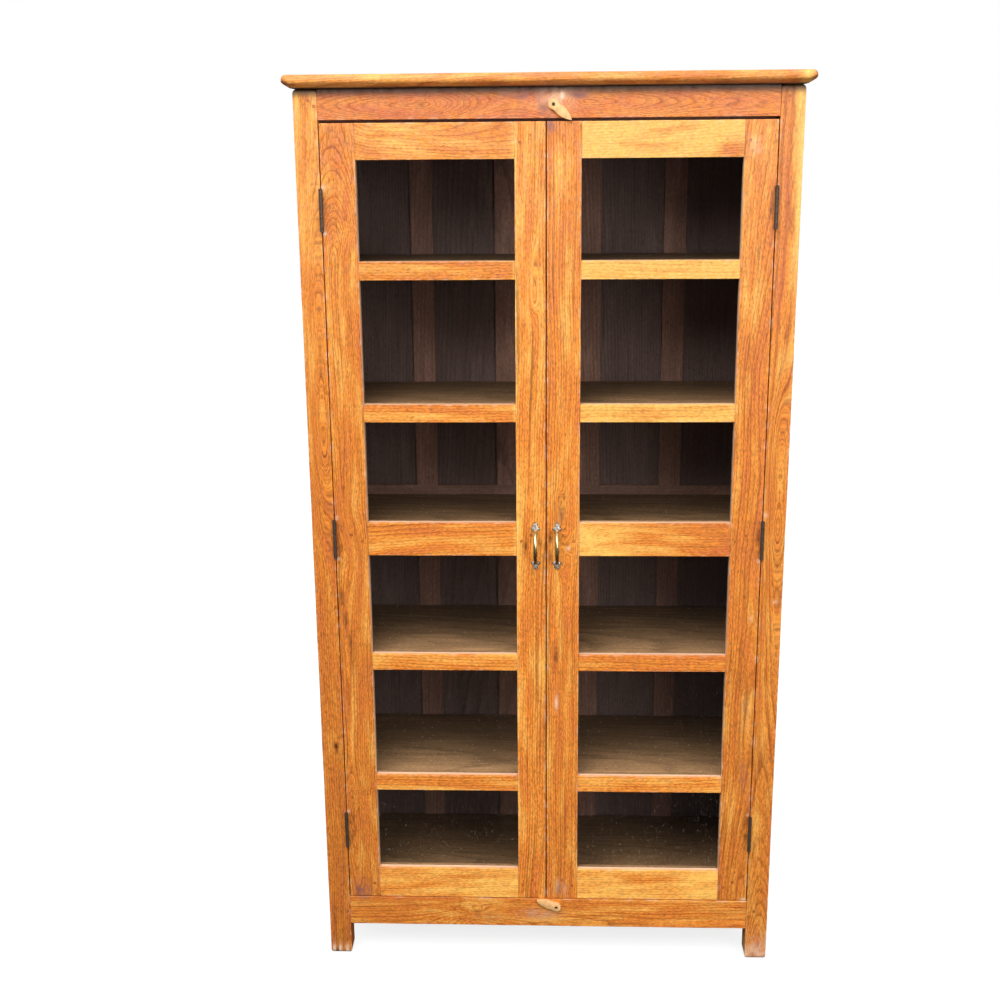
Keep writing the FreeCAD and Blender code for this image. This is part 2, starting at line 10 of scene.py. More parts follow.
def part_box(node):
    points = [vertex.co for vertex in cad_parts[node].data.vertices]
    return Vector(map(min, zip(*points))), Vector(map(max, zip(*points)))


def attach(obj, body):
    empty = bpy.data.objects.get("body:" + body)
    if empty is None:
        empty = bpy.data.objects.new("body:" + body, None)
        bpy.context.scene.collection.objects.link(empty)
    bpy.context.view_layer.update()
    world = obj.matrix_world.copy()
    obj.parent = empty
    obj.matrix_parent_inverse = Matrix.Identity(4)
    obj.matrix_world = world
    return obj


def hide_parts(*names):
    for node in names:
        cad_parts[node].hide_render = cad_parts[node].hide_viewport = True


bl_info = {
    "name": "Glass-front cabinet",
    "version": (1, 0, 0),
    "blender": (4, 5, 0),
    "location": "View3D > Sidebar > Cabinet",
    "description": "Finishes a teak display cabinet with two glazed doors",
    "category": "Object",
}

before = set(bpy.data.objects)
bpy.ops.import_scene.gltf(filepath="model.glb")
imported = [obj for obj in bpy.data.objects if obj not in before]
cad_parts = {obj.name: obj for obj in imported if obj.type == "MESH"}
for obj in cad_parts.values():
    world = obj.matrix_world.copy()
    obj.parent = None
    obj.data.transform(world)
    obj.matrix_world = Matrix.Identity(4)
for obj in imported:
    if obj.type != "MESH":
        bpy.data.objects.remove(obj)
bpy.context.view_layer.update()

MM = 0.001
X, Y, Z = range(3)
SIDES = {"left": -1, "right": 1}


def linear(code):
    """Linear RGBA of an sRGB hex colour."""
    srgb = np.array([int(code[i:i + 2], 16) for i in (0, 2, 4)]) / 255
    rgb = np.where(srgb <= 0.04045, srgb / 12.92, ((srgb + 0.055) / 1.055) ** 2.4)
    return (*rgb.tolist(), 1.0)


WHITE = linear("FFFFFF")

# Sizes and colours that a user would change


def length(name, description, default):
    return bpy.props.FloatProperty(
        name=name, description=description, default=default, unit="LENGTH", precision=5
    )


def colour(name, description, code):
    return bpy.props.FloatVectorProperty(
        name=name, description=description, default=linear(code), size=4, subtype="COLOR", min=0, max=1
    )


class CabinetSizes(bpy.types.PropertyGroup):
    arris: length("Arris", "Radius of the worn edges of the boards", 1.3 * MM)
    nose: length("Nose", "Radius of the round along the top board's upper edge", 9 * MM)
    bevel_run: length("Bevel run", "Reach of the top board's under-bevel inward", 16 * MM)
    bevel_rise: length("Bevel rise", "Height of the top board's under-bevel", 9 * MM)
    corner: length("Corner", "Radius of the top board's front corners", 12 * MM)
    foot_round: length("Foot rounding", "Radius of the worn ends of the feet", 8 * MM)
    hollow: length("Hollow", "Depth of the shallow waves in the boards' faces", 0.35 * MM)
    glass_rebate: length("Glass rebate", "Depth of the step that the panes lie in", 9 * MM)
    ring: length("Growth ring", "Distance from one growth ring to the next", 4.6 * MM)
    pore: length("Pore", "Width of a pore, drawn coarser than real so that it shows", 1.5 * MM)
    across: length("Mesh across", "Spacing of the mesh across a board", 3.5 * MM)
    along: length("Mesh along", "Spacing of the mesh along a board", 4 * MM)
    grip_width: length("Grip width", "Width of the pull's grip", 7.4 * MM)
    grip_depth: length("Grip depth", "Thickness of the pull's grip", 6.2 * MM)
    plate_length: length("Plate length", "Length of the pull's leaf-shaped plates", 20 * MM)
    plate_width: length("Plate width", "Width of the pull's leaf-shaped plates", 18 * MM)
    plate_depth: length("Plate depth", "Thickness of the plates in the middle", 3 * MM)


class CabinetColours(bpy.types.PropertyGroup):
    honey: colour("Honey", "Body of the teak", "DC8430")
    pale: colour("Pale honey", "Sapwood and faded teak", "EFB458")
    red: colour("Red-brown", "Heartwood", "CB6C38")
    ring: colour("Ring", "Dark line where a growth ring starts", "8E3F12")
    pore: colour("Pore", "Open pores, streaks and grime", "4E2109")
    dust: colour("Dust", "Dust and bare fibre on ledges and edges", "E9C6AA")
    scuff: colour("Scuff", "Mauve bloom where the finish is rubbed through", "865850")
    inner: colour("Inner frame", "Rails and muntins of back and sides seen from inside", "92695A")
    panel: colour("Inner panel", "Panels of back and sides seen from inside", "745A54")
    shelf: colour("Shelf", "Shelves and bottom board", "B88A62")
    cream: colour("Cream", "Bare pale wood of the turn buttons", "E2B57A")
    brass: colour("Brass", "Rubbed brass", "DCCB96")
    silver: colour("Silver", "Worn plates of the pulls", "E2E0DA")
    patina: colour("Patina", "Dark film on old brass", "665232")
    iron: colour("Iron", "Old pressed iron", "64544A")
    rust: colour("Rust", "Rust on the iron", "33241B")
    glass: colour("Glass", "What the panes let through", "F7F9F8")
    speck: colour("Speck", "Dust on the panes", "DAD4CB")
    floor: colour("Floor", "Studio floor as it is seen", "F4F4F4")
    floor_light: colour("Floor light", "Studio floor as it lights the cabinet", "505050")


# Nodes


def add_node(tree, kind, links=None, **settings):
    """One node: settings by attribute name, and inputs by socket name or number.

    An input is a value, a socket or a node, which stands for its first output in use.
    """
    node = tree.nodes.new("ShaderNode" + kind)
    for name, value in settings.items():
        setattr(node, name, value)
    for key, value in (links or {}).items():
        if isinstance(value, bpy.types.Node):
            value = next(output for output in value.outputs if output.enabled)
        if isinstance(value, bpy.types.NodeSocket):
            tree.links.new(value, node.inputs[key])
        else:
            node.inputs[key].default_value = value
    return node


def emptied(owner):
    """The function that adds nodes to a material or world, whose tree is emptied first."""
    owner.use_nodes = True
    owner.node_tree.nodes.clear()
    return partial(add_node, owner.node_tree)


def material(name, fill, *given):
    """The named material, made once.

    fill takes the function that adds nodes, the colours and what is given, and returns the shader.
    """
    made = bpy.data.materials.get(name)
    if not made:
        made = bpy.data.materials.new(name)
        add = emptied(made)
        add("OutputMaterial", {"Surface": fill(add, bpy.context.scene.cabinet_colours, *given)})
    return made


def coats(add, body, layers):
    """A body colour under layers, each a share and the colour that covers so much of what is below."""
    for share, over in layers:
        body = add("Mix", {0: share, 6: body, 7: over}, data_type="RGBA")
    return body


def crumbs(add, place, spacing, largest):
    """1 on round crumbs, at most one in each cell of the spacing, their radius up to a share of it.

    They are drawn larger than real dust, so that they show.
    """
    cells = add("TexVoronoi", {"Vector": place, "Scale": 1 / spacing})
    chance = add("SeparateXYZ", {0: cells.outputs["Color"]})
    radius = add("MapRange", {0: chance, 1: 0.5, 2: 1.0, 3: 0.0, 4: largest})
    return add("Math", {0: cells, 1: radius}, operation="LESS_THAN")


def teak_figure(add, grain):
    """Growth rings, pores, mottle, streaks and grit from a grain vector in mm, whose x runs along the pith.

    A ring is the whole part of the wandering distance from the pith over the ring width. The share left
    over goes from the dark, porous start of the ring to its paler end. Pores and grit are drawn coarser
    than real, so that they show.
    """

    def noise(along, across, detail):
        stretch = (1 / along, 1 / across, 1 / across)
        scaled = add("VectorMath", {0: grain, 1: stretch}, operation="MULTIPLY")
        return add("TexNoise", {"Vector": scaled, "Scale": 1.0, "Detail": detail})

    sizes = bpy.context.scene.cabinet_sizes
    across = add("VectorMath", {0: grain, 1: (0, 1, 1)}, operation="MULTIPLY")
    radius = add("VectorMath", {0: across}, operation="LENGTH")
    wander = noise(260, 50, 2.0)
    ripple = noise(36, 9, 2.0)
    sway = add("MapRange", {0: radius, 2: 40.0, 3: 1.0, 4: 5.0})
    swung = add("Math", {0: wander, 1: sway, 2: radius}, operation="MULTIPLY_ADD")
    rippled = add("Math", {0: ripple, 1: 2.6, 2: swung}, operation="MULTIPLY_ADD")
    turns = add("Math", {0: rippled, 1: sizes.ring / MM}, operation="DIVIDE")
    share = add("Math", {0: turns}, operation="FRACT")
    count = add("Math", {0: turns}, operation="FLOOR")
    chance = add("TexWhiteNoise", {"W": count}, noise_dimensions="1D")
    line = add("ValToRGB", {0: share})
    ramp = line.color_ramp.elements
    ramp[0].color = (1, 1, 1, 1)
    ramp[1].color = (0.75, 0.75, 0.75, 1)
    for place, value in ((0.12, 0.8), (0.26, 0.34), (0.52, 0.1), (0.88, 0.0)):
        ramp.new(place).color = (value, value, value, 1)
    strength = add("MapRange", {0: chance, 3: 0.35, 4: 1.0})
    rings = add("Math", {0: line, 1: strength}, operation="MULTIPLY")
    fibre = noise(9, sizes.pore / MM, 2.0)
    pores = add("MapRange", {0: fibre, 1: 0.48, 2: 0.7, 3: 0.0, 4: 1.0})
    mottle = noise(130, 19, 3.0)
    streaks = noise(420, 5, 2.0)
    grit = noise(7, 4, 3.0)
    return rings, pores, mottle, streaks, grit


def teak_colour(add, figure, tone, colours):
    """Colour of oiled teak: honey mottled with pale and red, dark ring lines, pores and streaks.

    tone is a vector: its x goes from red at -1 to pale at 1, its y is a gain and its z the streaks.
    """
    rings, pores, mottle, streaks, grit = figure
    base_hue, base_gain, streakiness = add("SeparateXYZ", {0: tone}).outputs
    warm = add("MapRange", {0: mottle, 1: 0.3, 2: 0.7, 3: -0.6, 4: 0.6})
    hue = add("Math", {0: base_hue, 1: warm}, operation="ADD")
    to_pale = add("MapRange", {0: hue, 1: 0.0, 2: 1.0, 3: 0.0, 4: 1.0})
    to_red = add("MapRange", {0: hue, 1: 0.0, 2: -1.0, 3: 0.0, 4: 1.0})
    drawn = add("MapRange", {0: to_pale, 3: 0.8, 4: 0.36})
    lined = add("Math", {0: rings, 1: drawn}, operation="MULTIPLY")
    flecked = add("MapRange", {0: to_pale, 3: 0.54, 4: 0.22})
    dotted = add("Math", {0: pores, 1: flecked}, operation="MULTIPLY")
    sharp = add("MapRange", {0: streaks, 1: 0.56, 2: 0.68, 3: 0.0, 4: 0.75})
    struck = add("Math", {0: sharp, 1: streakiness}, operation="MULTIPLY")
    layers = (
        (to_pale, colours.pale),
        (to_red, colours.red),
        (lined, colours.ring),
        (dotted, colours.pore),
        (struck, colours.pore),
    )
    body = coats(add, colours.honey, layers)
    sandy = add("MapRange", {0: grit, 1: 0.3, 2: 0.7, 3: 0.79, 4: 1.17})
    gain = add("Math", {0: sandy, 1: base_gain}, operation="MULTIPLY")
    return add("VectorMath", {0: body, 3: gain}, operation="SCALE")


def teak_surface(add, body, figure, roughness):
    """Satin wood: ring lines and pores lie a little lower than the rest."""
    rings, pores = figure[:2]
    sunk = add("Math", {0: pores, 1: 1.6, 2: rings}, operation="MULTIPLY_ADD")
    low = add("Math", {0: sunk, 1: -1.0}, operation="MULTIPLY")
    bump = add("Bump", {"Height": low, "Strength": 0.35, "Distance": 0.2 * MM})
    look = {"Base Color": body, "Roughness": roughness, "Normal": bump, "Specular IOR Level": 0.3}
    return add("BsdfPrincipled", look)


def oiled_teak(add, colours):
    """Old oiled teak, planed by hand: satin, with pale dust on ledges that is partly a painted highlight of
    the light from above, a painted highlight on side faces, and rubbed, scuffed edges.
    """
    grain, tone, wear, marks = (
        add("Attribute", attribute_name=name).outputs["Vector"] for name in ("grain", "tone", "wear", "marks")
    )
    edge, ledge, painted_side_highlight = add("SeparateXYZ", {0: wear}).outputs
    bare, bloom, grime_and_painted_shadow = add("SeparateXYZ", {0: marks}).outputs
    place = add("TexCoord").outputs
    patchy = add("TexNoise", {"Vector": place["Object"], "Scale": 1 / (18 * MM), "Detail": 5.0})
    facing = add("SeparateXYZ", {0: place["Normal"]}).outputs
    # What faces up takes the pale dust colour: dust on the ledges, and a painted highlight of the light from
    # above.
    upward = add("MapRange", {0: facing[Z], 1: 0.4, 2: 0.85, 3: 0.0, 4: 0.8})
    turned = add("Math", {0: facing[X], 1: painted_side_highlight}, operation="MULTIPLY")
    sideways = add("MapRange", {0: turned, 1: 0.75, 2: 0.95, 3: 0.0, 4: 0.85})
    rubbed = add("MapRange", {0: patchy, 1: 0.5, 2: 0.68, 3: 0.0, 4: 0.4})
    ragged = add("MapRange", {0: patchy, 1: 0.36, 2: 0.58, 3: 0.25, 4: 1.0})
    worn = (
        (rubbed, edge, colours.dust),
        (upward, ledge, colours.dust),
        # painted highlight on the side faces turned to the glass opening, in the dust colour
        (sideways, 1.0, colours.dust),
        (ragged, bare, colours.dust),
        (ragged, bloom, colours.scuff),
        # dark marks in the pore colour: dirt, and painted shadow beside the hinges
        (ragged, grime_and_painted_shadow, colours.pore),
    )
    layers = [
        (add("Math", {0: share, 1: amount}, operation="MULTIPLY", use_clamp=True), over)
        for share, amount, over in worn
    ]
    figure = teak_figure(add, grain)
    body = coats(add, teak_colour(add, figure, tone, colours), layers)
    rough = add("MapRange", {0: patchy, 1: 0.3, 2: 0.7, 3: 0.36, 4: 0.56})
    return teak_surface(add, body, figure, rough)


def bay_teak(add, colours, order, bays, tone, seed):
    """Figure and colour of teak that is sawn from another board in each bay.

    order gives the axes of the grain vector, the one along the grain first. bays is the first bay's lowest
    corner and the bays' sizes in metres. In each bay chance shifts the grain and changes the tone.
    """
    place = add("TexCoord").outputs["Object"]
    start, step = np.asarray(bays)
    counted = add("VectorMath", {0: place, 1: 1 / step, 2: seed - start / step}, operation="MULTIPLY_ADD")
    floored = add("VectorMath", {0: counted}, operation="FLOOR")
    chance = add("TexWhiteNoise", {"Vector": floored}, noise_dimensions="3D").outputs["Color"]
    shift = add("VectorMath", {0: chance, 1: (700, 110, 50), 2: (0, 20, 25)}, operation="MULTIPLY_ADD")
    axes = add("SeparateXYZ", {0: place}).outputs
    swapped = add("CombineXYZ", {i: axes[axis] for i, axis in enumerate(order)})
    grain = add("VectorMath", {0: swapped, 1: (1 / MM,) * 3, 2: shift}, operation="MULTIPLY_ADD")
    along, across, into = add("SeparateXYZ", {0: grain}).outputs
    leaning = add("Math", {0: along, 1: 0.03, 2: into}, operation="MULTIPLY_ADD")
    figure = teak_figure(add, add("CombineXYZ", {0: along, 1: across, 2: leaning}))
    draw = add("SeparateXYZ", {0: chance}).outputs
    hue = add("MapRange", {0: draw[0], 3: tone[0] - 0.25, 4: tone[0] + 0.25})
    gain = add("MapRange", {0: draw[1], 3: tone[1] * 0.88, 4: tone[1] * 1.06})
    tones = add("CombineXYZ", {0: hue, 1: gain, 2: tone[2]})
    return figure, teak_colour(add, figure, tones, colours)


def dull(add, body, tint):
    """Wood that was never oiled: the lightness of its figure on one dark tint."""
    grey = add("RGBToBW", {0: body})
    light = add("MapRange", {0: grey, 1: 0.05, 2: 0.4, 3: 0.4, 4: 1.4})
    return add("VectorMath", {0: tint[:3], 3: light}, operation="SCALE")


def framed_teak(add, colours, order, bays, tone, seed, tint, plane):
    """Teak of a framed wall: oiled outside, and dull where it is nearer the middle than the plane."""
    figure, body = bay_teak(add, colours, order, bays, tone, seed)
    place = add("SeparateXYZ", {0: add("TexCoord").outputs["Object"]}).outputs
    away = add("Math", {0: place[order[2]]}, operation="ABSOLUTE")
    inside = add("Math", {0: away, 1: plane}, operation="LESS_THAN")
    return teak_surface(add, coats(add, body, [(inside, dull(add, body, tint))]), figure, 0.7)


def dull_teak(add, colours, order, step, tint, faded):
    """Inner teak that was never oiled. With faded set, a board gets painted shade, darker towards the back
    and paler in front, and crumbs of dust.
    """
    figure, body = bay_teak(add, colours, order, ((0, 0, 0), step), (-0.2, 1.0, 0.6), 0)
    body = dull(add, body, tint)
    if faded:
        lo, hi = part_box("shelf_3")
        place = add("TexCoord").outputs["Object"]
        depth = add("SeparateXYZ", {0: place}).outputs[Y]
        # painted shade: the shelf grows darker from the front towards the back
        front = add("MapRange", {0: depth, 1: lo.y + 5 * MM, 2: hi.y - 9.5 * MM, 3: 1.0, 4: 0.0})
        steep = add("Math", {0: front, 1: 3.0}, operation="POWER")
        pale = add("Math", {0: steep, 1: 1.05, 2: 0.34}, operation="MULTIPLY_ADD")
        body = add("VectorMath", {0: body, 3: pale}, operation="SCALE")
        longer = add("VectorMath", {0: place, 1: (1, 0.4, 1)}, operation="MULTIPLY")
        littered = add("Math", {0: crumbs(add, longer, 6 * MM, 0.25), 1: 0.35}, operation="MULTIPLY")
        body = coats(add, body, [(littered, colours.dust)])
    return teak_surface(add, body, figure, 0.65)


def window_glass(add, colours):
    """Thin old window glass: nearly clear, and a weak mirror at a slant on its near side.

    Lamps reach through it. The lower panes have faint specks of dust, splashed up from the ground.
    """
    highest, lowest = 850 * MM, 200 * MM
    clear = add("BsdfTransparent", {"Color": colours.glass})
    mirror = add("BsdfGlossy", {"Color": WHITE, "Roughness": 0.02})
    glance = add("Fresnel", {"IOR": 1.22})
    behind = add("NewGeometry").outputs["Backfacing"]
    share = add("Math", {0: glance, 1: behind}, operation="SUBTRACT", use_clamp=True)
    pane = add("MixShader", {0: share, 1: clear, 2: mirror})
    place = add("TexCoord").outputs["Object"]
    height = add("SeparateXYZ", {0: place}).outputs[Z]
    splash = add("MapRange", {0: height, 1: highest, 2: lowest, 3: 0.0, 4: 0.09})
    specks = add("Math", {0: crumbs(add, place, 6 * MM, 0.27), 1: splash}, operation="MULTIPLY")
    matt = add("BsdfDiffuse", {"Color": colours.speck})
    return add("MixShader", {0: specks, 1: pane, 2: matt})


def cast_brass(add, colours):
    """Cast brass, rubbed bright where hands reach and dark with film in the hollows; the grip's faces that
    look down are darkened in the patina colour as painted shade.
    """
    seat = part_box("left_pull")[1].y
    place = add("TexCoord").outputs["Object"]
    film = add("TexNoise", {"Vector": place, "Scale": 1 / (3.5 * MM), "Detail": 4.0})
    rise = add("SeparateXYZ", {0: add("NewGeometry").outputs["Normal"]}).outputs[Z]
    # painted shade: the grip darkens where it faces down, and is a touch brighter where it faces up
    lower = add("MapRange", {0: rise, 1: 0.1, 2: -0.4, 3: -0.1, 4: 0.8})
    depth = add("SeparateXYZ", {0: place}).outputs[Y]
    proud = add("MapRange", {0: depth, 1: seat - 4 * MM, 2: seat - 11 * MM, 3: 0.0, 4: 1.0})
    # this share is the painted shade of the grip's underside, kept off the plates
    worn = add("Math", {0: lower, 1: proud}, operation="MULTIPLY")
    spread = add("MapRange", {0: film, 1: 0.4, 2: 0.62, 3: -0.1, 4: 0.75})
    rim = add("MapRange", {0: depth, 1: seat - 2.2 * MM, 2: seat - 0.5 * MM, 3: 0.0, 4: 0.9})
    filmed = add("Math", {0: worn, 1: spread}, operation="ADD")
    aged = add("Math", {0: filmed, 1: rim}, operation="ADD", use_clamp=True)
    body = coats(add, colours.silver, [(proud, colours.brass), (aged, colours.patina)])
    matt = add("MapRange", {0: proud, 3: 0.5, 4: 0.22})
    rough = add("Math", {0: aged, 1: 0.3, 2: matt}, operation="MULTIPLY_ADD")
    bump = add("Bump", {"Height": film, "Strength": 0.4, "Distance": 0.15 * MM})
    look = {"Base Color": body, "Metallic": 1.0, "Roughness": rough, "Normal": bump}
    return add("BsdfPrincipled", look)


def old_iron(add, colours):
    """Pressed iron gone brown: dull, pitted and rusty in patches."""
    place = add("TexCoord").outputs["Object"]
    pits = add("TexNoise", {"Vector": place, "Scale": 1 / (2.4 * MM), "Detail": 5.0})
    patches = add("MapRange", {0: pits, 1: 0.42, 2: 0.62, 3: 0.0, 4: 1.0})
    body = coats(add, colours.iron, [(patches, colours.rust)])
    rough = add("MapRange", {0: patches, 3: 0.42, 4: 0.8})
    metal = add("MapRange", {0: patches, 3: 0.85, 4: 0.15})
    bump = add("Bump", {"Height": pits, "Strength": 0.6, "Distance": 0.3 * MM})
    look = {"Base Color": body, "Metallic": metal, "Roughness": rough, "Normal": bump}
    return add("BsdfPrincipled", look)


def bare_wood(add, colours):
    """Pale wood, whittled and left bare: fine fibres and grubby hollows."""
    place = add("TexCoord").outputs["Object"]
    drawn = add("VectorMath", {0: place, 1: (700, 700, 120)}, operation="MULTIPLY")
    fibre = add("TexNoise", {"Vector": drawn, "Scale": 1.0, "Detail": 3.0})
    grub = add("TexNoise", {"Vector": place, "Scale": 1 / (9 * MM), "Detail": 3.0})
    lines = add("MapRange", {0: fibre, 1: 0.4, 2: 0.7, 3: 0.0, 4: 0.4})
    dirt = add("MapRange", {0: grub, 1: 0.5, 2: 0.75, 3: 0.0, 4: 0.35})
    body = coats(add, colours.cream, [(lines, colours.honey), (dirt, colours.ring)])
    bump = add("Bump", {"Height": fibre, "Strength": 0.4, "Distance": 0.2 * MM})
    look = {"Base Color": body, "Roughness": 0.6, "Normal": bump}
    return add("BsdfPrincipled", look)


def coat(node, made):
    """Give a node of the frame one material."""
    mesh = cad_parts[node].data
    mesh.materials.clear()
    mesh.materials.append(made)


# Meshes


# A board: its section's corners, its ends, its three axes, and the rounding of its edges and ends
Board = namedtuple("Board", "corners ends along width depth arris end_round")

# A board's figure: place of the pith across and into it in mm and its lean, then hue, gain and streaks.
# fine draws the rings closer, and fade is the change of hue and gain towards the far end.
# Eyes: place along, reach before and after, rise. Swirls: place along and across, reaches, push.
Figure = namedtuple("Figure", "pith tilt tone eyes fine fade swirls", defaults=((), 1.0, (0.0, 0.0), ()))


def waves(along, across, seed, size):
    """A smooth field between -1 and 1: the hyperbolic tangent of the sum of five sines.

    Each sine runs along the two coordinates at its own pace, in steps of size.
    """
    draw = np.random.default_rng(seed)
    pace = draw.uniform(0.4, 2.2, (5, 2)) * draw.choice([-1, 1], (5, 2))
    phase = draw.uniform(0, 2 * math.pi, 5)
    turn = (along[..., None] * pace[:, 0] + across[..., None] * pace[:, 1]) / size
    return np.tanh(np.sin(turn + phase).sum(-1) / 2)


def rounded_outline(corners, radii, pitch, arc_steps=4):
    """Points and outward normals round an outline, its corners eased by parabolas.

    corners run anticlockwise. With s from 0 to 1, a parabola weighs the tangent point before the corner by
    (1 - s) squared, the corner by 2 s (1 - s) and the tangent point after it by s squared. Flats are
    divided by the pitch, with one more point close to each corner.
    """
    corners = np.asarray(corners, float)
    step = np.roll(corners, -1, 0) - corners
    run = np.linalg.norm(step, axis=1)
    ahead = step / run[:, None]
    back = np.roll(ahead, 1, 0)
    radii = np.broadcast_to(np.asarray(radii, float), len(corners))
    share = np.linspace(0, 1, arc_steps + 1)[:, None]
    points, headings = [], []
    for i, corner in enumerate(corners):
        points.append(corner + radii[i] * (share**2 * ahead[i] - (1 - share) ** 2 * back[i]))
        headings.append((1 - share) * back[i] + share * ahead[i])
        clear = run[i] - radii[i] - radii[(i + 1) % len(corners)]
        count = max(1, int(round(clear / pitch)))
        close = 0.3 / count
        place = np.sort(np.append(np.arange(1, count) / count, (close, 1 - close)))[:, None]
        points.append(corner + ahead[i] * (radii[i] + place * clear))
        headings.append(np.tile(ahead[i], (len(place), 1)))
    heading = np.vstack(headings)
    heading /= np.linalg.norm(heading, axis=1)[:, None]
    return np.vstack(points), np.stack([heading[:, 1], -heading[:, 0]], 1)


def box_board(lo, hi, along, width, depth, arris, end_round):
    """A board that fills a box."""
    a, b = (lo[width], hi[width]), (lo[depth], hi[depth])
    corners = [(a[0], b[0]), (a[1], b[0]), (a[1], b[1]), (a[0], b[1])]
    return Board(corners, (lo[along], hi[along]), along, width, depth, arris, end_round)


def worn_sections(board, along, sizes, seed):
    """The board's outline at each station, sunk by the hollow times a smooth wave field.

    So no face is dead flat.
    """
    outline, normals = rounded_outline(board.corners, board.arris, sizes.across)
    girth = np.arange(len(outline)) * sizes.across
    wave = waves(along[:, None], girth[None, :], seed, 50 * MM)
    return outline - normals * (sizes.hollow * (0.5 + 0.5 * wave))[..., None]


def placed(board, along, sections):
    """Sections put in their places along the board, as a grid of stations by outline points."""
    grid = np.zeros((*sections.shape[:2], 3))
    grid[..., board.along] = along[:, None]
    grid[..., board.width] = sections[..., 0]
    grid[..., board.depth] = sections[..., 1]
    return grid


def board_surface(board, sizes, seed):
    """A worn board: its outline carried along its length, drawn in over a quarter circle at both ends."""
    start, stop = board.ends
    steps = 5
    quarter = np.linspace(0, math.pi / 2, steps)
    count = max(2, int(round((stop - start - 2 * board.end_round) / sizes.along)))
    inner = np.linspace(start + board.end_round, stop - board.end_round, count + 1)
    lead = start + board.end_round * (1 - np.cos(quarter))
    trail = stop - board.end_round * (1 - np.cos(quarter))
    along = np.concatenate([lead, inner[1:-1], trail[::-1]])
    drawn = np.zeros(len(along))
    drawn[:steps] = board.end_round * (1 - np.sin(quarter))
    drawn[-steps:] = drawn[:steps][::-1]
    flat = worn_sections(board, along, sizes, seed)
    low, high = np.min(board.corners, 0), np.max(board.corners, 0)
    middle, half = (low + high) / 2, (high - low) / 2
    return placed(board, along, middle + (flat - middle) * (1 - drawn[:, None, None] / half))


def nosed_surface(board, sizes, seed):
    """The top board: its section carried along it, with stations by a sine that crowd at the ends.

    Near an end the top comes down by a quarter circle, the underside rises by the bevel and the front
    edge goes back by another quarter circle.
    """
    start, stop = board.ends
    stations = 141
    half = (stop - start) / 2
    along = (start + stop) / 2 + half * np.sin(math.pi / 2 * np.linspace(-1, 1, stations))
    inset = (half - np.abs(along - (start + stop) / 2))[:, None]
    flat = worn_sections(board, along, sizes, seed)
    low, high = np.min(board.corners, 0), np.max(board.corners, 0)
    raised = sizes.bevel_rise * np.clip(1 - inset / sizes.bevel_run, 0, 1)
    lowered, gone = (
        radius * (1 - np.sqrt(1 - np.clip(1 - inset / radius, 0, 1) ** 2))
        for radius in (sizes.nose, sizes.corner)
    )
    level = (flat[..., 1] - low[1]) / (high[1] - low[1])
    flat[..., 1] = low[1] + raised + level * (high[1] - low[1] - raised - lowered)
    flat[..., 0] += gone * (high[0] - flat[..., 0]) / (high[0] - low[0])
    return placed(board, along, flat)


def skin(grid, flip, first):
    """Faces of a grid closed round its second way, with a cap at each end, its points numbered from first."""
    rows, round_count = grid.shape[:2]
    index = first + np.arange(rows * round_count).reshape(rows, round_count)
    ahead = np.roll(index, -1, 1)
    quads = np.stack([index[:-1], ahead[:-1], ahead[1:], index[1:]], -1).reshape(-1, 4)
    turn = -1 if flip else 1
    return quads[:, ::turn].tolist() + [index[0][::-turn].tolist(), index[-1][::turn].tolist()]


def joined(grids):
    """Points and faces of several grids, each with its flip, as one mesh."""
    points, faces, first = [], [], 0
    for grid, flip in grids:
        points.append(grid.reshape(-1, 3))
        faces += skin(grid, flip, first)
        first += len(points[-1])
    return np.vstack(points), faces


def edge_closeness(points, board, sizes):
    """1 on a long arris, falling off over 1 mm with the greater distance from the two faces."""
    across = points[:, (board.width, board.depth)]
    away = np.minimum(across - across.min(0), across.max(0) - across).max(1)
    return np.exp(-np.maximum(away - sizes.arris, 0) / (1 * MM))


def grain_of(points, board, figure, seed):
    """Place of each point in mm from the pith of its tree: along it, across the board and into it.

    The pith leans by the tilt, sways a little, and comes nearer at each eye by a pointed bell curve that
    may reach further before the eye than after it. At a swirl a bell curve with such reaches pushes the
    grain sideways, so the rings bend or close round it.
    """
    draw = np.random.default_rng(seed)
    corners = np.asarray(board.corners)
    middle = (corners.min(0) + corners.max(0)) / 2
    u = (points[:, board.along] - sum(board.ends) / 2) / MM
    v = (points[:, board.width] - middle[0]) / MM
    w = (points[:, board.depth] - corners[:, 1].min()) / MM
    phase = draw.uniform(0, 2 * math.pi, 2)
    sway = 3.0 * np.sin(u / 140 + phase[0]) + 1.5 * np.sin(u / 55 + phase[1])
    deep = figure.pith[1] + figure.tilt[1] * u
    for eye, before, after, rise in figure.eyes:
        reach = np.where(u < eye, before, after)
        deep = deep - rise * np.exp(-(np.abs((u - eye) / reach) ** 1.4))
    pushed = np.zeros(len(u))
    for at_u, at_v, before, after, beside, push in figure.swirls:
        reach = np.where(u < at_u, before, after)
        pushed += push * np.exp(-((u - at_u) / reach) ** 2 - ((v - at_v) / beside) ** 2)
    v = v - figure.pith[0] - figure.tilt[0] * u - sway + pushed
    return np.stack([u + draw.uniform(0, 4000), v * figure.fine, (w - deep) * figure.fine], 1)


def indoors(points):
    """True for points behind the doors: within the reach of the shelves and 8 mm into the walls."""
    low, high = (np.array(corner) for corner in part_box("shelf_3"))
    low[Z], high[Z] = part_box("bottom_board")[0].z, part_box("head_rail")[1].z
    into_walls = 8 * MM
    low[X] -= into_walls
    high[[X, Y]] += into_walls
    return ((points > low) & (points < high)).all(1)


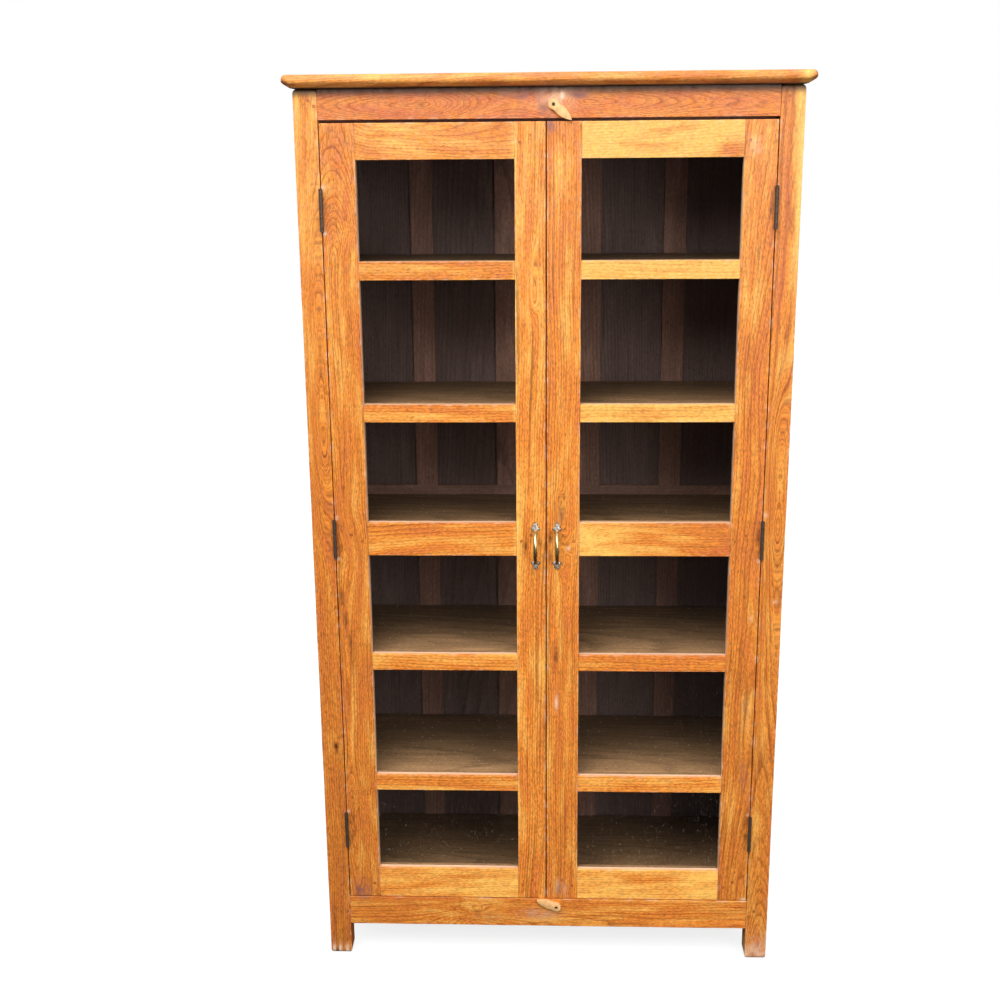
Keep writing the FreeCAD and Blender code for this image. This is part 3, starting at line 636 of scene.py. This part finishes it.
def bells(points, rows):
    """Sum of the rows' amounts, each times a bell curve about the row's place in the front view."""
    x, z = points[:, X] / MM, points[:, Z] / MM
    total = np.zeros(len(points))
    for at_x, at_z, reach_x, reach_z, amount in rows:
        total += amount * np.exp(-((x - at_x) / reach_x) ** 2 - ((z - at_z) / reach_z) ** 2)
    return total


# Patches in the wood: middle across and up in mm, reach across and up, and the change of hue to pale or red
PATCHES = (
    (459, 1690, 13, 300, 1.4),
    (428, 1600, 14, 260, -0.45),
    (-60, 1300, 6, 700, 0.6),
    (330, 1656, 24, 14, -1.3),
    (-436, 921, 40, 300, -0.35),
    (385, 921, 30, 300, -0.3),
)

# Marks on the wood by kind, among them painted shadow beside the hinges and a painted sheen on the upper
# part: middle across and up in mm, reach across and up, and how much
MARKS = {
    "bare pale fibre and painted sheen": (
        # painted sheen: a faint pale wash over the whole upper part, where light from above falls
        (0, 1800, 2000, 380, 0.07),
        (14, 1745, 30, 16, 0.45),
        (27, 1751, 3, 10, 0.8),
        (374, 1662, 13, 15, 0.35),
        (-411, 1594, 3.5, 3.5, 1.1),
        (-411, 1510, 3.5, 3.5, 1.1),
        (421, 971, 4, 4, 0.8),
        (-411, 964, 3.5, 3.5, 1.1),
        (42, 904, 4, 4, 1.0),
        (-411, 880, 3.5, 3.5, 0.9),
        (411, 880, 3.5, 3.5, 0.9),
        (446, 795, 4, 4, 0.7),
        (401, 760, 3, 4, 1.0),
        (18, 580, 3, 14, 1.5),
        (-411, 334, 3.5, 3.5, 0.9),
        (411, 334, 3.5, 3.5, 0.9),
        (22, 167, 3, 12, 0.7),
        (26, 160, 14, 16, 0.1),
        (36, 158, 3, 10, 0.7),
        (408, 139, 7, 4, 1.2),
        (-15, 100, 34, 11, 0.45),
        (-453, 8, 3, 16, 1.8),
        (-440, 6, 3, 13, 1.8),
        (-425, 8, 4, 13, 1.8),
        (438, 5, 60, 38, 0.65),
    ),
    "mauve bloom": (
        (-50, 1752, 36, 7, 1.1),
        (57, 1752, 15, 8, 1.3),
        (-7, 1728, 9, 10, 1.0),
        (5, 1698, 10, 14, 1.0),
        (25, 975, 7, 26, 0.3),
        (397, 560, 8, 26, 0.45),
        (397, 420, 8, 30, 0.45),
        (26, 160, 14, 16, 0.5),
        (-388, 152, 16, 22, 0.9),
        (-120, 92, 30, 8, 0.4),
    ),
    "grime_and_painted_shadow": (
        (-226, 1737, 7, 5, 0.5),
        # painted shadow beside the top hinges' knuckles
        (-409, 1551, 5, 34, 0.7),
        (409, 1551, 5, 34, 0.7),
        (24, 1005, 7, 4, 0.8),
        (25, 975, 7, 26, 0.2),
        (6, 930, 4, 14, 1.1),
        # painted shadow beside the middle hinges' knuckles
        (-408, 921, 5, 34, 0.8),
        (408, 921, 5, 34, 0.8),
        (-13, 916, 3, 10, 0.8),
        (41, 912, 3, 3, 1.0),
        (-42, 908, 3, 28, 1.0),
        (6, 885, 4, 14, 0.6),
        (-406, 800, 4, 28, 0.7),
        (-400, 755, 4, 28, 0.7),
        (-393, 705, 4, 28, 0.7),
        (17, 682, 4, 22, 0.9),
        (-431, 478, 4, 12, 1.5),
        # painted shadow beside the bottom hinges' knuckles
        (-408, 292, 5, 34, 0.8),
        (408, 292, 5, 34, 0.8),
        (26, 160, 14, 16, 0.2),
        (32, 124, 6, 5, 0.5),
        (-147, 105, 6, 4, 0.9),
        (-15, 100, 34, 11, 0.25),
        (-450, 70, 4, 70, 0.4),
        (-434, 50, 5, 60, 0.4),
        (-447, 4, 2.5, 9, 0.9),
    ),
}


def painted_shadow_under_top(points):
    """Painted shadow under the top board's overhang, as the share of the colour it leaves: 1 less a
    flat-topped bell about the underside of the top board.
    """
    taken, down, up = 0.92, 13 * MM, 2 * MM
    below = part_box("top_board")[0].z - points[:, Z]
    return 1 - taken * np.exp(-(np.abs(below / np.where(below > 0, down, up)) ** 3))


def tone_of(points, board, figure):
    """Hue, gain and streaks of each point: the first two change evenly from one end to the other.

    Sapwood and heartwood patches change the hue further. A painted shadow under the top board's
    overhang lowers the gain, and it is low indoors, where the wood was never oiled.
    """
    unoiled = 0.36
    along = points[:, board.along]
    share = (2 * along - sum(board.ends)) / (board.ends[1] - board.ends[0])
    tone = np.asarray(figure.tone) + share[:, None] * (*figure.fade, 0.0)
    tone[:, 0] += bells(points, PATCHES)
    # painted shadow: the wood darkens just under the top board's overhang
    tone[:, 1] *= painted_shadow_under_top(points)
    tone[indoors(points), 1] *= unoiled
    return tone


def piece(name, node, body, mesh_data, made, attributes):
    """One smooth mesh object with its named vectors, in place of a node and riding on a body of the frame."""
    points, faces = mesh_data
    mesh = bpy.data.meshes.new(name)
    mesh.from_pydata(points.tolist(), [], faces)
    for key, values in attributes.items():
        vectors = mesh.attributes.new(key, "FLOAT_VECTOR", "POINT").data
        vectors.foreach_set("vector", values.astype(np.float32).ravel())
    mesh.shade_smooth()
    mesh.materials.append(made)
    obj = bpy.data.objects.new(name, mesh)
    bpy.context.scene.collection.objects.link(obj)
    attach(obj, body)
    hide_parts(node)


def hand(board):
    """True where the outline, seen along the board, runs the other way round."""
    return (board.along, board.width, board.depth) in ((X, Z, Y), (Y, X, Z), (Z, Y, X))


def wooden_piece(
    node, body, boards, figures, seed, dust=(0.0, 0.0), prefix="worn_", slot="teak", surface=board_surface
):
    """One piece of oiled teak made of one or more worn boards.

    dust is how much pale dust, partly a painted highlight of the light from above, lies on what faces up,
    and 1 or -1 where what faces right or left gets a pale painted highlight. The pale colour on what faces up
    starts 2 mm from the front and is full 5 mm farther back.
    """
    sizes = bpy.context.scene.cabinet_sizes
    grids = [surface(board, sizes, seed + i) for i, board in enumerate(boards)]
    fields = {"grain": [], "tone": [], "wear": [], "marks": []}
    for grid, board, figure in zip(grids, boards, figures):
        points = grid.reshape(-1, 3)
        # edge wear is weaker in the painted shadow under the top board
        edge = edge_closeness(points, board, sizes) * (slot == "teak") * ~indoors(points) * painted_shadow_under_top(points)
        behind = points[:, board.depth] - points[:, board.depth].min()
        # pale colour on what faces up: dust, partly a painted highlight
        ledge = dust[0] * np.clip((behind - 2 * MM) / (5 * MM), 0, 1)
        fields["grain"].append(grain_of(points, board, figure, seed))
        fields["tone"].append(tone_of(points, board, figure))
        fields["wear"].append(np.stack([edge, ledge, np.full(len(points), dust[1])], 1))
        fields["marks"].append(np.stack([bells(points, rows) for rows in MARKS.values()], 1))
    mesh_data = joined((grid, hand(board)) for grid, board in zip(grids, boards))
    attributes = {key: np.concatenate(parts) for key, parts in fields.items()}
    made = material("oiled_teak", oiled_teak)
    piece(prefix + node, node, body, mesh_data, made, attributes)


def solid_boxes(node):
    """Lowest and highest corner of each separate solid of a node, from the bottom up.

    Corners at one place share a number, and each triangle passes its lowest number on until none changes.
    """
    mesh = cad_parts[node].data
    mesh.calc_loop_triangles()
    places = np.zeros(len(mesh.vertices) * 3)
    mesh.vertices.foreach_get("co", places)
    places = places.reshape(-1, 3)
    triangles = np.zeros(len(mesh.loop_triangles) * 3, int)
    mesh.loop_triangles.foreach_get("vertices", triangles)
    same = np.unique(np.round(places / (0.02 * MM)), axis=0, return_inverse=True)[1].ravel()
    triangles = same[triangles].reshape(-1, 3)
    label = np.arange(same.max() + 1)
    while True:
        lowest = label[triangles].min(1)
        spread = label.copy()
        np.minimum.at(spread, triangles, lowest[:, None])
        if (spread == label).all():
            break
        label = spread
    owner = label[same]
    boxes = [(places[owner == one].min(0), places[owner == one].max(0)) for one in np.unique(owner)]
    return sorted(boxes, key=lambda box: (round(box[0][Z], 4), round(box[0][X], 4)))


# Pieces


class CABINET_OT_posts(bpy.types.Operator):
    """Make the four worn posts with their rubbed feet"""

    bl_idname = "cabinet.posts"
    bl_label = "Posts"

    figures = {
        "front_left_post": Figure(
            (130, 40), (0.006, 0.0), (0.1, 0.98, 0.3), fade=(0.3, 0.05),
            swirls=((260, 4, 150, 420, 22, 60), (60, -8, 60, 60, 16, 13)),
        ),
        "front_right_post": Figure(
            (4, 50), (0.004, 0.0), (0.05, 1.0, 0.4), fine=1.2, fade=(0.05, 0.0),
            eyes=((-905, 40, 230, 46),),
            swirls=((210, 2, 420, 130, 22, 52), (60, 6, 40, 40, 14, 12)),
        ),
        "back_left_post": Figure((90, 40), (0.01, 0.01), (-0.1, 0.9, 0.3)),
        "back_right_post": Figure((-80, 60), (0.01, 0.02), (-0.1, 0.9, 0.3)),
    }

    def execute(self, context):
        sizes = context.scene.cabinet_sizes
        for seed, (node, figure) in enumerate(self.figures.items(), 10):
            board = box_board(*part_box(node), Z, X, Y, sizes.arris, sizes.foot_round)
            wooden_piece(node, "carcass", [board], [figure], seed)
        return {"FINISHED"}


class CABINET_OT_top_board(bpy.types.Operator):
    """Make the top board with its rounded nose"""

    bl_idname = "cabinet.top_board"
    bl_label = "Top board"

    figure = Figure((-150, 70), (0.03, 0.03), (0.15, 1.0, 0.3), fine=1.3, fade=(-0.3, -0.06))

    def execute(self, context):
        sizes = context.scene.cabinet_sizes
        lo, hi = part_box("top_board")
        corners = [
            (lo.y + sizes.bevel_run, lo.z),
            (hi.y, lo.z),
            (hi.y, hi.z),
            (lo.y, hi.z),
            (lo.y, lo.z + sizes.bevel_rise),
        ]
        arris = (sizes.arris, sizes.arris, sizes.arris, sizes.nose, sizes.nose / 2)
        board = Board(corners, (lo.x, hi.x), X, Y, Z, arris, 0.0)
        wooden_piece("top_board", "carcass", [board], [self.figure], 20, surface=nosed_surface)
        return {"FINISHED"}


class CABINET_OT_front_rails(bpy.types.Operator):
    """Make the head rail and the bottom rail between the posts"""

    bl_idname = "cabinet.front_rails"
    bl_label = "Front rails"

    figures = {
        "head_rail": Figure(
            (0, 40), (0.0, 0.0), (-0.5, 1.03, 0.3), fine=1.5, fade=(0.1, 0.02),
            eyes=((-224, 230, 90, 37), (70, 60, 240, 36)),
        ),
        "front_bottom_rail": Figure(
            (-30, 46), (0.02, 0.0), (0.05, 1.12, 0.5), fine=1.3, fade=(0.12, 0.05),
            eyes=((-150, 60, 160, 26),),
            swirls=((-147, 4, 22, 22, 8, 14),),
        ),
    }

    def execute(self, context):
        sizes = context.scene.cabinet_sizes
        inner = (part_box("front_left_post")[1].x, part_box("front_right_post")[0].x)
        for seed, (node, figure) in enumerate(self.figures.items(), 30):
            lo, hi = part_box(node)
            lo.x, hi.x = inner
            board = box_board(lo, hi, X, Z, Y, sizes.arris, sizes.arris)
            wooden_piece(node, "carcass", [board], [figure], seed)
        return {"FINISHED"}


class CABINET_OT_door_frames(bpy.types.Operator):
    """Make the stiles, rails and glazing bars of both doors, with the rebates that hold the glass"""

    bl_idname = "cabinet.door_frames"
    bl_label = "Door frames"

    stiles = {
        "left_hinge_stile": Figure(
            (-14, 60), (0.004, 0.0), (-0.05, 1.02, 0.5), fine=1.35,
            eyes=((540, 2500, 150, 56), (-570, 160, 50, 16)),
            swirls=((60, 6, 50, 50, 14, 11), (-20, -8, 60, 60, 14, -11)),
        ),
        "left_meeting_stile": Figure(
            (70, 30), (0.02, 0.01), (0.1, 1.12, 0.65), fade=(0.06, -0.05),
            swirls=((470, 6, 30, 80, 8, 22),),
        ),
        "right_meeting_stile": Figure(
            (-60, 38), (0.015, 0.01), (0.0, 1.1, 0.5), fine=1.2, fade=(0.06, -0.04),
            swirls=((-42, -3, 30, 60, 8, 26), (-18, 11, 12, 20, 6, 12), (83, -7, 40, 14, 7, 14)),
        ),
        "right_hinge_stile": Figure(
            (34, 52), (0.02, 0.03), (0.06, 1.02, 0.5), fine=1.1, fade=(0.05, 0.0),
            eyes=((330, 200, 300, 20),),
        ),
    }
    rails = {
        "left": {
            "door_bottom_rail": Figure((-110, 50), (0.03, 0.0), (0.6, 1.2, 0.1)),
            "door_lock_rail": Figure((60, 60), (0.03, 0.0), (0.05, 1.1, 0.2)),
            "door_top_rail": Figure((40, 60), (-0.06, 0.0), (0.25, 1.02, 0.15), eyes=((-120, 60, 260, 30),)),
        },
        "right": {
            "door_bottom_rail": Figure((-90, 50), (0.02, 0.0), (0.6, 1.2, 0.1)),
            "door_lock_rail": Figure(
                (4, 56), (0.0, 0.0), (0.25, 1.08, 0.3), fine=1.4, fade=(-0.75, -0.03),
                eyes=((-80, 150, 3000, 53),),
            ),
            "door_top_rail": Figure((100, 50), (0.02, 0.02), (1.0, 0.93, 0.05), fade=(-0.15, 0.0)),
        },
    }
    # Glazing bars from the bottom up: place of the pith across the bar in mm, hue and gain
    bars = {
        "left": ((60, 0.1, 1.14), (-50, 0.2, 1.14), (70, 0.05, 1.06), (80, 0.0, 0.97)),
        "right": ((50, 0.35, 1.2), (-70, -0.1, 1.1), (60, 0.9, 1.0), (-60, 1.0, 0.93)),
    }
    # Pale colour on what faces up, on stiles and on rails and bars: dust, partly a painted highlight.
    stile_top_dust_and_highlight = 0.6
    ledge_dust_and_highlight = (1.0, 0.0)

    def execute(self, context):
        sizes = context.scene.cabinet_sizes
        for side, way in SIDES.items():
            body = side + "_door"
            glass_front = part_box(side + "_panes")[0].y
            inner_edges = []
            for seed, kind in enumerate(("hinge", "meeting"), 40 + 10 * way):
                node = f"{side}_{kind}_stile"
                lo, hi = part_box(node)
                inner = way if kind == "meeting" else -way
                lip = hi.x if inner > 0 else lo.x
                inner_edges.append(lip)
                board = self.stile(lo, hi, lip, inner, glass_front, sizes)
                # inner also turns the painted highlight on the stile's side face that looks into the opening
                wooden_piece(node, body, [board], [self.stiles[node]], seed, (self.stile_top_dust_and_highlight, inner))
            opening = (min(inner_edges), max(inner_edges))
            for seed, (kind, figure) in enumerate(self.rails[side].items(), 60 + 10 * way):
                node = f"{side}_{kind}"
                open_sides = (kind != "door_bottom_rail", kind != "door_top_rail")
                board = self.member(*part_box(node), opening, glass_front, open_sides, sizes)
                wooden_piece(node, body, [board], [figure], seed, self.ledge_dust_and_highlight)
            node = side + "_glazing_bars"
            boards = [
                self.member(lo, hi, opening, glass_front, (True, True), sizes) for lo, hi in solid_boxes(node)
            ]
            figures = [
                Figure((pith, 50), (0.01, 0.02), (hue, gain, 0.15)) for pith, hue, gain in self.bars[side]
            ]
            wooden_piece(node, body, boards, figures, 80 + 10 * way, self.ledge_dust_and_highlight)
        return {"FINISHED"}

    def stile(self, lo, hi, lip, inner, glass_front, sizes):
        """A stile: a rectangle with the rebate taken off behind its inner edge."""
        rebate = lip - inner * sizes.glass_rebate
        outer = lo.x if inner > 0 else hi.x
        corners = [
            (outer, lo.y),
            (lip, lo.y),
            (lip, glass_front),
            (rebate, glass_front),
            (rebate, hi.y),
            (outer, hi.y),
        ]
        if inner < 0:
            corners.reverse()
        return Board(corners, (lo.z, hi.z), Z, X, Y, sizes.arris, sizes.arris)

    def member(self, lo, hi, opening, glass_front, open_sides, sizes):
        """A rail or bar: a front lip with a stem behind it, narrower on the sides that hold glass."""
        low = lo[Z] + sizes.glass_rebate * open_sides[0]
        high = hi[Z] - sizes.glass_rebate * open_sides[1]
        corners = [(lo[Z], lo[Y]), (hi[Z], lo[Y])]
        corners += [(hi[Z], glass_front), (high, glass_front)] * open_sides[1]
        corners += [(high, hi[Y]), (low, hi[Y])]
        corners += [(low, glass_front), (lo[Z], glass_front)] * open_sides[0]
        return Board(corners, opening, X, Z, Y, sizes.arris, sizes.arris)


class CABINET_OT_pegs(bpy.types.Operator):
    """Make the square pegs of the joints, a little proud of the worn wood"""

    bl_idname = "cabinet.pegs"
    bl_label = "Pegs"

    nodes = {"frame_pegs": "carcass", "left_door_pegs": "left_door", "right_door_pegs": "right_door"}
    arris, end_round = 0.5 * MM, 0.3 * MM

    def execute(self, context):
        for seed, (node, body) in enumerate(self.nodes.items(), 120):
            boards, figures = [], []
            for i, (lo, hi) in enumerate(solid_boxes(node)):
                along = int(np.argmax(hi - lo))
                width, depth = [axis for axis in (X, Y, Z) if axis != along]
                boards.append(box_board(lo, hi, along, width, depth, self.arris, self.end_round))
                figures.append(Figure((20 + 7 * i, 30), (0, 0), (-0.3, 0.62 + 0.1 * (i % 3), 0.3)))
            wooden_piece(node, body, boards, figures, seed, prefix="square_", slot="peg_wood")
        return {"FINISHED"}


class CABINET_OT_walls(bpy.types.Operator):
    """Finish the framed back and sides, the shelves and what holds them"""

    bl_idname = "cabinet.walls"
    bl_label = "Walls and shelves"

    # Pieces of a wall: axes from along the grain to into the wood, then hue, gain and streaks outside
    back = {
        "back_panels": ((Z, X, Y), (-0.3, 0.75, 0.5)),
        "back_muntins": ((Z, X, Y), (-0.1, 0.8, 0.3)),
        "back_top_rail": ((X, Z, Y), (-0.1, 0.8, 0.3)),
        "back_mid_rail": ((X, Z, Y), (-0.2, 0.78, 0.3)),
        "back_bottom_rail": ((X, Z, Y), (-0.2, 0.75, 0.3)),
    }
    side = {
        "side_panels": ((Z, Y, X), (0.0, 0.95, 0.4)),
        "side_muntins": ((Z, Y, X), (-0.05, 0.95, 0.2)),
        "side_top_rail": ((Y, Z, X), (-0.05, 0.95, 0.2)),
        "side_mid_rail": ((Y, Z, X), (-0.1, 0.95, 0.2)),
        "side_bottom_rail": ((Y, Z, X), (-0.15, 0.92, 0.2)),
    }
    # Sizes of a bay in metres: one so large that a piece is one board, and the boards of the shelves
    one_board = (10.0, 10.0, 10.0)
    shelf_boards = (10.0, 0.16, 0.25)

    def execute(self, context):
        colours = context.scene.cabinet_colours
        walls = self.back | {f"{name}_{node}": look for name in SIDES for node, look in self.side.items()}
        for seed, (node, (order, tone)) in enumerate(walls.items()):
            lo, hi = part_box(node)
            plane = abs(lo[order[2]] + hi[order[2]]) / 2
            tint = colours.panel if node.endswith("panels") else colours.inner
            look = (order, self.bays(node), tone, seed, tint, plane)
            coat(node, material("teak_" + node, framed_teak, *look))
        shelves = [f"shelf_{number}" for number in range(1, 6)] + ["bottom_board"]
        beads = [side + "_glazing_beads" for side in SIDES]
        # The last value gives the shelves their painted shade towards the back and their crumbs of dust.
        for name, nodes, order, step, tint, faded in (
            ("shelves", shelves, (X, Y, Z), self.shelf_boards, colours.shelf, True),
            ("strips", ["shelf_cleats"], (Y, Z, X), self.one_board, colours.inner, False),
            ("stop", ["door_stop"], (X, Z, Y), self.one_board, colours.inner, False),
            ("beads", beads, (X, Z, Y), self.one_board, colours.shelf, False),
        ):
            made = material("dull_teak_" + name, dull_teak, order, step, tint, faded)
            for node in nodes:
                coat(node, made)
        return {"FINISHED"}

    def bays(self, node):
        """A corner 10 mm below the node's lowest, and the step along each axis from one solid to the next."""
        lows = np.round([lo for lo, hi in solid_boxes(node)], 3)
        places = [np.unique(lows[:, axis]) for axis in (X, Y, Z)]
        steps = [np.diff(one).min() if len(one) > 1 else whole for one, whole in zip(places, self.one_board)]
        return lows.min(0) - 10 * MM, steps


class CABINET_OT_glass(bpy.types.Operator):
    """Finish the twelve panes"""

    bl_idname = "cabinet.glass"
    bl_label = "Glass"

    def execute(self, context):
        for side in SIDES:
            coat(side + "_panes", material("window_glass", window_glass))
        return {"FINISHED"}


class CABINET_OT_hinges(bpy.types.Operator):
    """Finish the butt hinges, their pins and the nails of the turn buttons"""

    bl_idname = "cabinet.hinges"
    bl_label = "Hinges"

    def execute(self, context):
        leaves = [f"{side}_{part}_hinge_leaves" for side in SIDES for part in ("post", "door")]
        for node in (*leaves, "hinge_pins", "button_nails"):
            coat(node, material("old_iron", old_iron))
        return {"FINISHED"}


class CABINET_OT_pulls(bpy.types.Operator):
    """Make the two bow pulls with leaf-shaped plates"""

    bl_idname = "cabinet.pulls"
    bl_label = "Pulls"

    def execute(self, context):
        sizes = context.scene.cabinet_sizes
        for side in SIDES:
            node = side + "_pull"
            lo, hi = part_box(node)
            grids = [self.grip(lo, hi, sizes)] + [self.leaf(lo, hi, way, sizes) for way in (1, -1)]
            made = material("cast_brass", cast_brass)
            piece("bow_" + node, node, side + "_door", joined(grids), made, {})
        return {"FINISHED"}

    def grip(self, lo, hi, sizes):
        """An ellipse carried along a circular arc that leaves the door and comes back to it.

        The section is fullest in the middle and swells again into a collar at each end.
        """
        stations, round_count = 49, 24
        middle = (lo + hi) / 2
        seat = (hi.z - lo.z) / 2 - 0.7 * sizes.plate_length
        rise = hi.y - lo.y - sizes.grip_depth / 2
        radius = (seat**2 + rise**2) / (2 * rise)
        reach = math.atan2(seat, radius - rise)
        turn = np.linspace(-reach, reach, stations)
        share = np.abs(np.linspace(-1, 1, stations))
        swell = 0.92 + 0.10 * np.cos(math.pi * share) + 0.34 * np.exp(-((share - 0.86) / 0.05) ** 2)
        angle = np.linspace(0, 2 * math.pi, round_count, endpoint=False)
        wide = sizes.grip_width / 2 * swell[:, None] * np.cos(angle)
        deep = radius + sizes.grip_depth / 2 * swell[:, None] * np.sin(angle)
        grid = np.zeros((stations, round_count, 3))
        grid[..., X] = middle.x + wide
        grid[..., Y] = np.clip(hi.y - rise + radius - deep * np.cos(turn)[:, None], lo.y, hi.y)
        grid[..., Z] = middle.z + deep * np.sin(turn)[:, None]
        return grid, True

    def leaf(self, lo, hi, way, sizes):
        """A plate of three lobes: its half width is the sum of two bell curves of the share along it.

        Both ends are closed by a root, and each section is a half ellipse on the door.
        """
        stations, round_count = 33, 17
        thinnest = 0.2 * MM
        middle = (lo + hi) / 2
        share = (1 - np.cos(math.pi * np.linspace(0, 1, stations))) / 2
        lobes = np.exp(-(((share - 0.3) / 0.28) ** 2)) + 0.55 * np.exp(-(((share - 0.8) / 0.2) ** 2))
        closed = np.minimum(1, np.sqrt(7 * share)) * np.sqrt(1 - share**5)
        half = sizes.plate_width / 2 * lobes * closed + thinnest
        deep = sizes.plate_depth * (0.3 + 0.7 * np.sin(math.pi * share) ** 0.5)
        angle = np.linspace(0, math.pi, round_count)
        base = middle.z + way * ((hi.z - lo.z) / 2 - sizes.plate_length)
        grid = np.zeros((stations, round_count, 3))
        grid[..., X] = middle.x + half[:, None] * np.cos(angle)
        grid[..., Y] = hi.y - deep[:, None] * np.sin(angle)
        grid[..., Z] = (base + way * sizes.plate_length * share)[:, None]
        return grid, way < 0


class CABINET_OT_turn_buttons(bpy.types.Operator):
    """Finish the two whittled turn buttons"""

    bl_idname = "cabinet.turn_buttons"
    bl_label = "Turn buttons"

    def execute(self, context):
        for node in ("top_turn_button", "bottom_turn_button"):
            coat(node, material("bare_wood", bare_wood))
        return {"FINISHED"}


class CABINET_OT_stage(bpy.types.Operator):
    """Set up the floor, the lamps, the world and the camera"""

    bl_idname = "cabinet.stage"
    bl_label = "Stage"

    # Camera: place in metres, angles in degrees, focal length and sensor width in mm
    eye = Vector((0.0114, -2.6876, 1.6730))
    yaw, pitch, roll = -2.332, 14.897, 0.511
    lens, sensor = 48.6, 36.0
    # Lamps: place, what each is turned to, diameter in metres and power in watts
    lamps = {
        "key": ((-0.7, -2.4, 3.3), (0.0, 0.0, 1.15), 2.2, 97),
        "fill": ((1.6, -2.8, 1.8), (0.0, 0.0, 0.55), 2.0, 46),
    }
    floor_reach = 12.0

    def execute(self, context):
        scene = context.scene
        scene.view_settings.view_transform = "Standard"
        self.camera(scene)
        self.world(scene)
        self.floor(scene)
        for name, (place, target, size, power) in self.lamps.items():
            self.lamp(scene, name, place, target, size, power)
        return {"FINISHED"}

    def camera(self, scene):
        data = bpy.data.cameras.new("camera")
        data.lens, data.sensor_width = self.lens, self.sensor
        obj = bpy.data.objects.new("camera", data)
        yaw, pitch, roll = (math.radians(angle) for angle in (self.yaw, self.pitch, self.roll))
        obj.matrix_world = Matrix.Translation(self.eye)
        for angle, axis in ((-yaw, "Z"), (math.pi / 2 - pitch, "X"), (-roll, "Z")):
            obj.matrix_world @= Matrix.Rotation(angle, 4, axis)
        scene.collection.objects.link(obj)
        scene.camera = obj

    def seen(self, add):
        """1 for what the camera sees, straight or through glass, and 0 for the light itself."""
        path = add("LightPath").outputs
        rays = {0: path["Is Camera Ray"], 1: path["Is Transmission Ray"]}
        return add("Math", rays, operation="MAXIMUM")

    def world(self, scene):
        """A white background, and a sky that lights the cabinet more from above."""
        scene.world = bpy.data.worlds.new("studio")
        add = emptied(scene.world)
        height = add("SeparateXYZ", {0: add("TexCoord").outputs["Generated"]}).outputs[Z]
        sky = add("MapRange", {0: height, 1: 0.05, 2: 0.7, 3: 0.14, 4: 1.45})
        strength = add("Mix", {0: self.seen(add), 2: sky, 3: 1.0}, data_type="FLOAT")
        shade = add("Background", {"Color": WHITE, "Strength": strength})
        add("OutputWorld", {"Surface": shade})

    def studio_floor(self, add, colours):
        """A pale floor that glows a little where it is seen and throws little light on the cabinet."""
        seen = self.seen(add)
        matt = add("BsdfDiffuse", {"Color": coats(add, colours.floor_light, [(seen, colours.floor)])})
        glow = add("Emission", {"Color": WHITE, "Strength": 1.1})
        share = add("Math", {0: seen, 1: 0.72}, operation="MULTIPLY")
        return add("MixShader", {0: share, 1: matt, 2: glow})

    def floor(self, scene):
        reach = self.floor_reach
        corners = [(-reach, -reach, 0), (reach, -reach, 0), (reach, reach, 0), (-reach, reach, 0)]
        mesh = bpy.data.meshes.new("floor")
        mesh.from_pydata(corners, [], [(0, 1, 2, 3)])
        mesh.materials.append(material("studio_floor", self.studio_floor))
        obj = bpy.data.objects.new("floor", mesh)
        scene.collection.objects.link(obj)

    def lamp(self, scene, name, place, target, size, power):
        data = bpy.data.lights.new(name, "AREA")
        data.shape, data.size, data.energy = "DISK", size, power
        obj = bpy.data.objects.new(name, data)
        obj.location = place
        obj.rotation_mode = "QUATERNION"
        obj.rotation_quaternion = (Vector(target) - Vector(place)).to_track_quat("-Z", "Y")
        scene.collection.objects.link(obj)


OPERATORS = (
    CABINET_OT_posts,
    CABINET_OT_top_board,
    CABINET_OT_front_rails,
    CABINET_OT_door_frames,
    CABINET_OT_pegs,
    CABINET_OT_walls,
    CABINET_OT_glass,
    CABINET_OT_hinges,
    CABINET_OT_pulls,
    CABINET_OT_turn_buttons,
    CABINET_OT_stage,
)


class CABINET_PT_panel(bpy.types.Panel):
    """List the cabinet's pieces, sizes and colours"""

    bl_idname = "CABINET_PT_panel"
    bl_label = "Glass-front cabinet"
    bl_space_type = "VIEW_3D"
    bl_region_type = "UI"
    bl_category = "Cabinet"

    def draw(self, context):
        for operator in OPERATORS:
            self.layout.operator(operator.bl_idname)
        for group in (context.scene.cabinet_sizes, context.scene.cabinet_colours):
            for name in group.bl_rna.properties.keys():
                if name not in ("rna_type", "name"):
                    self.layout.prop(group, name)


CLASSES = (CabinetSizes, CabinetColours, *OPERATORS, CABINET_PT_panel)


def register():
    for made in CLASSES:
        bpy.utils.register_class(made)
    bpy.types.Scene.cabinet_sizes = bpy.props.PointerProperty(type=CabinetSizes)
    bpy.types.Scene.cabinet_colours = bpy.props.PointerProperty(type=CabinetColours)


def unregister():
    del bpy.types.Scene.cabinet_colours
    del bpy.types.Scene.cabinet_sizes
    for made in reversed(CLASSES):
        bpy.utils.unregister_class(made)


def main():
    register()
    bpy.ops.cabinet.posts()
    bpy.ops.cabinet.top_board()
    bpy.ops.cabinet.front_rails()
    bpy.ops.cabinet.door_frames()
    bpy.ops.cabinet.pegs()
    bpy.ops.cabinet.walls()
    bpy.ops.cabinet.glass()
    bpy.ops.cabinet.hinges()
    bpy.ops.cabinet.pulls()
    bpy.ops.cabinet.turn_buttons()
    bpy.ops.cabinet.stage()


if __name__ == "__main__":
    main()
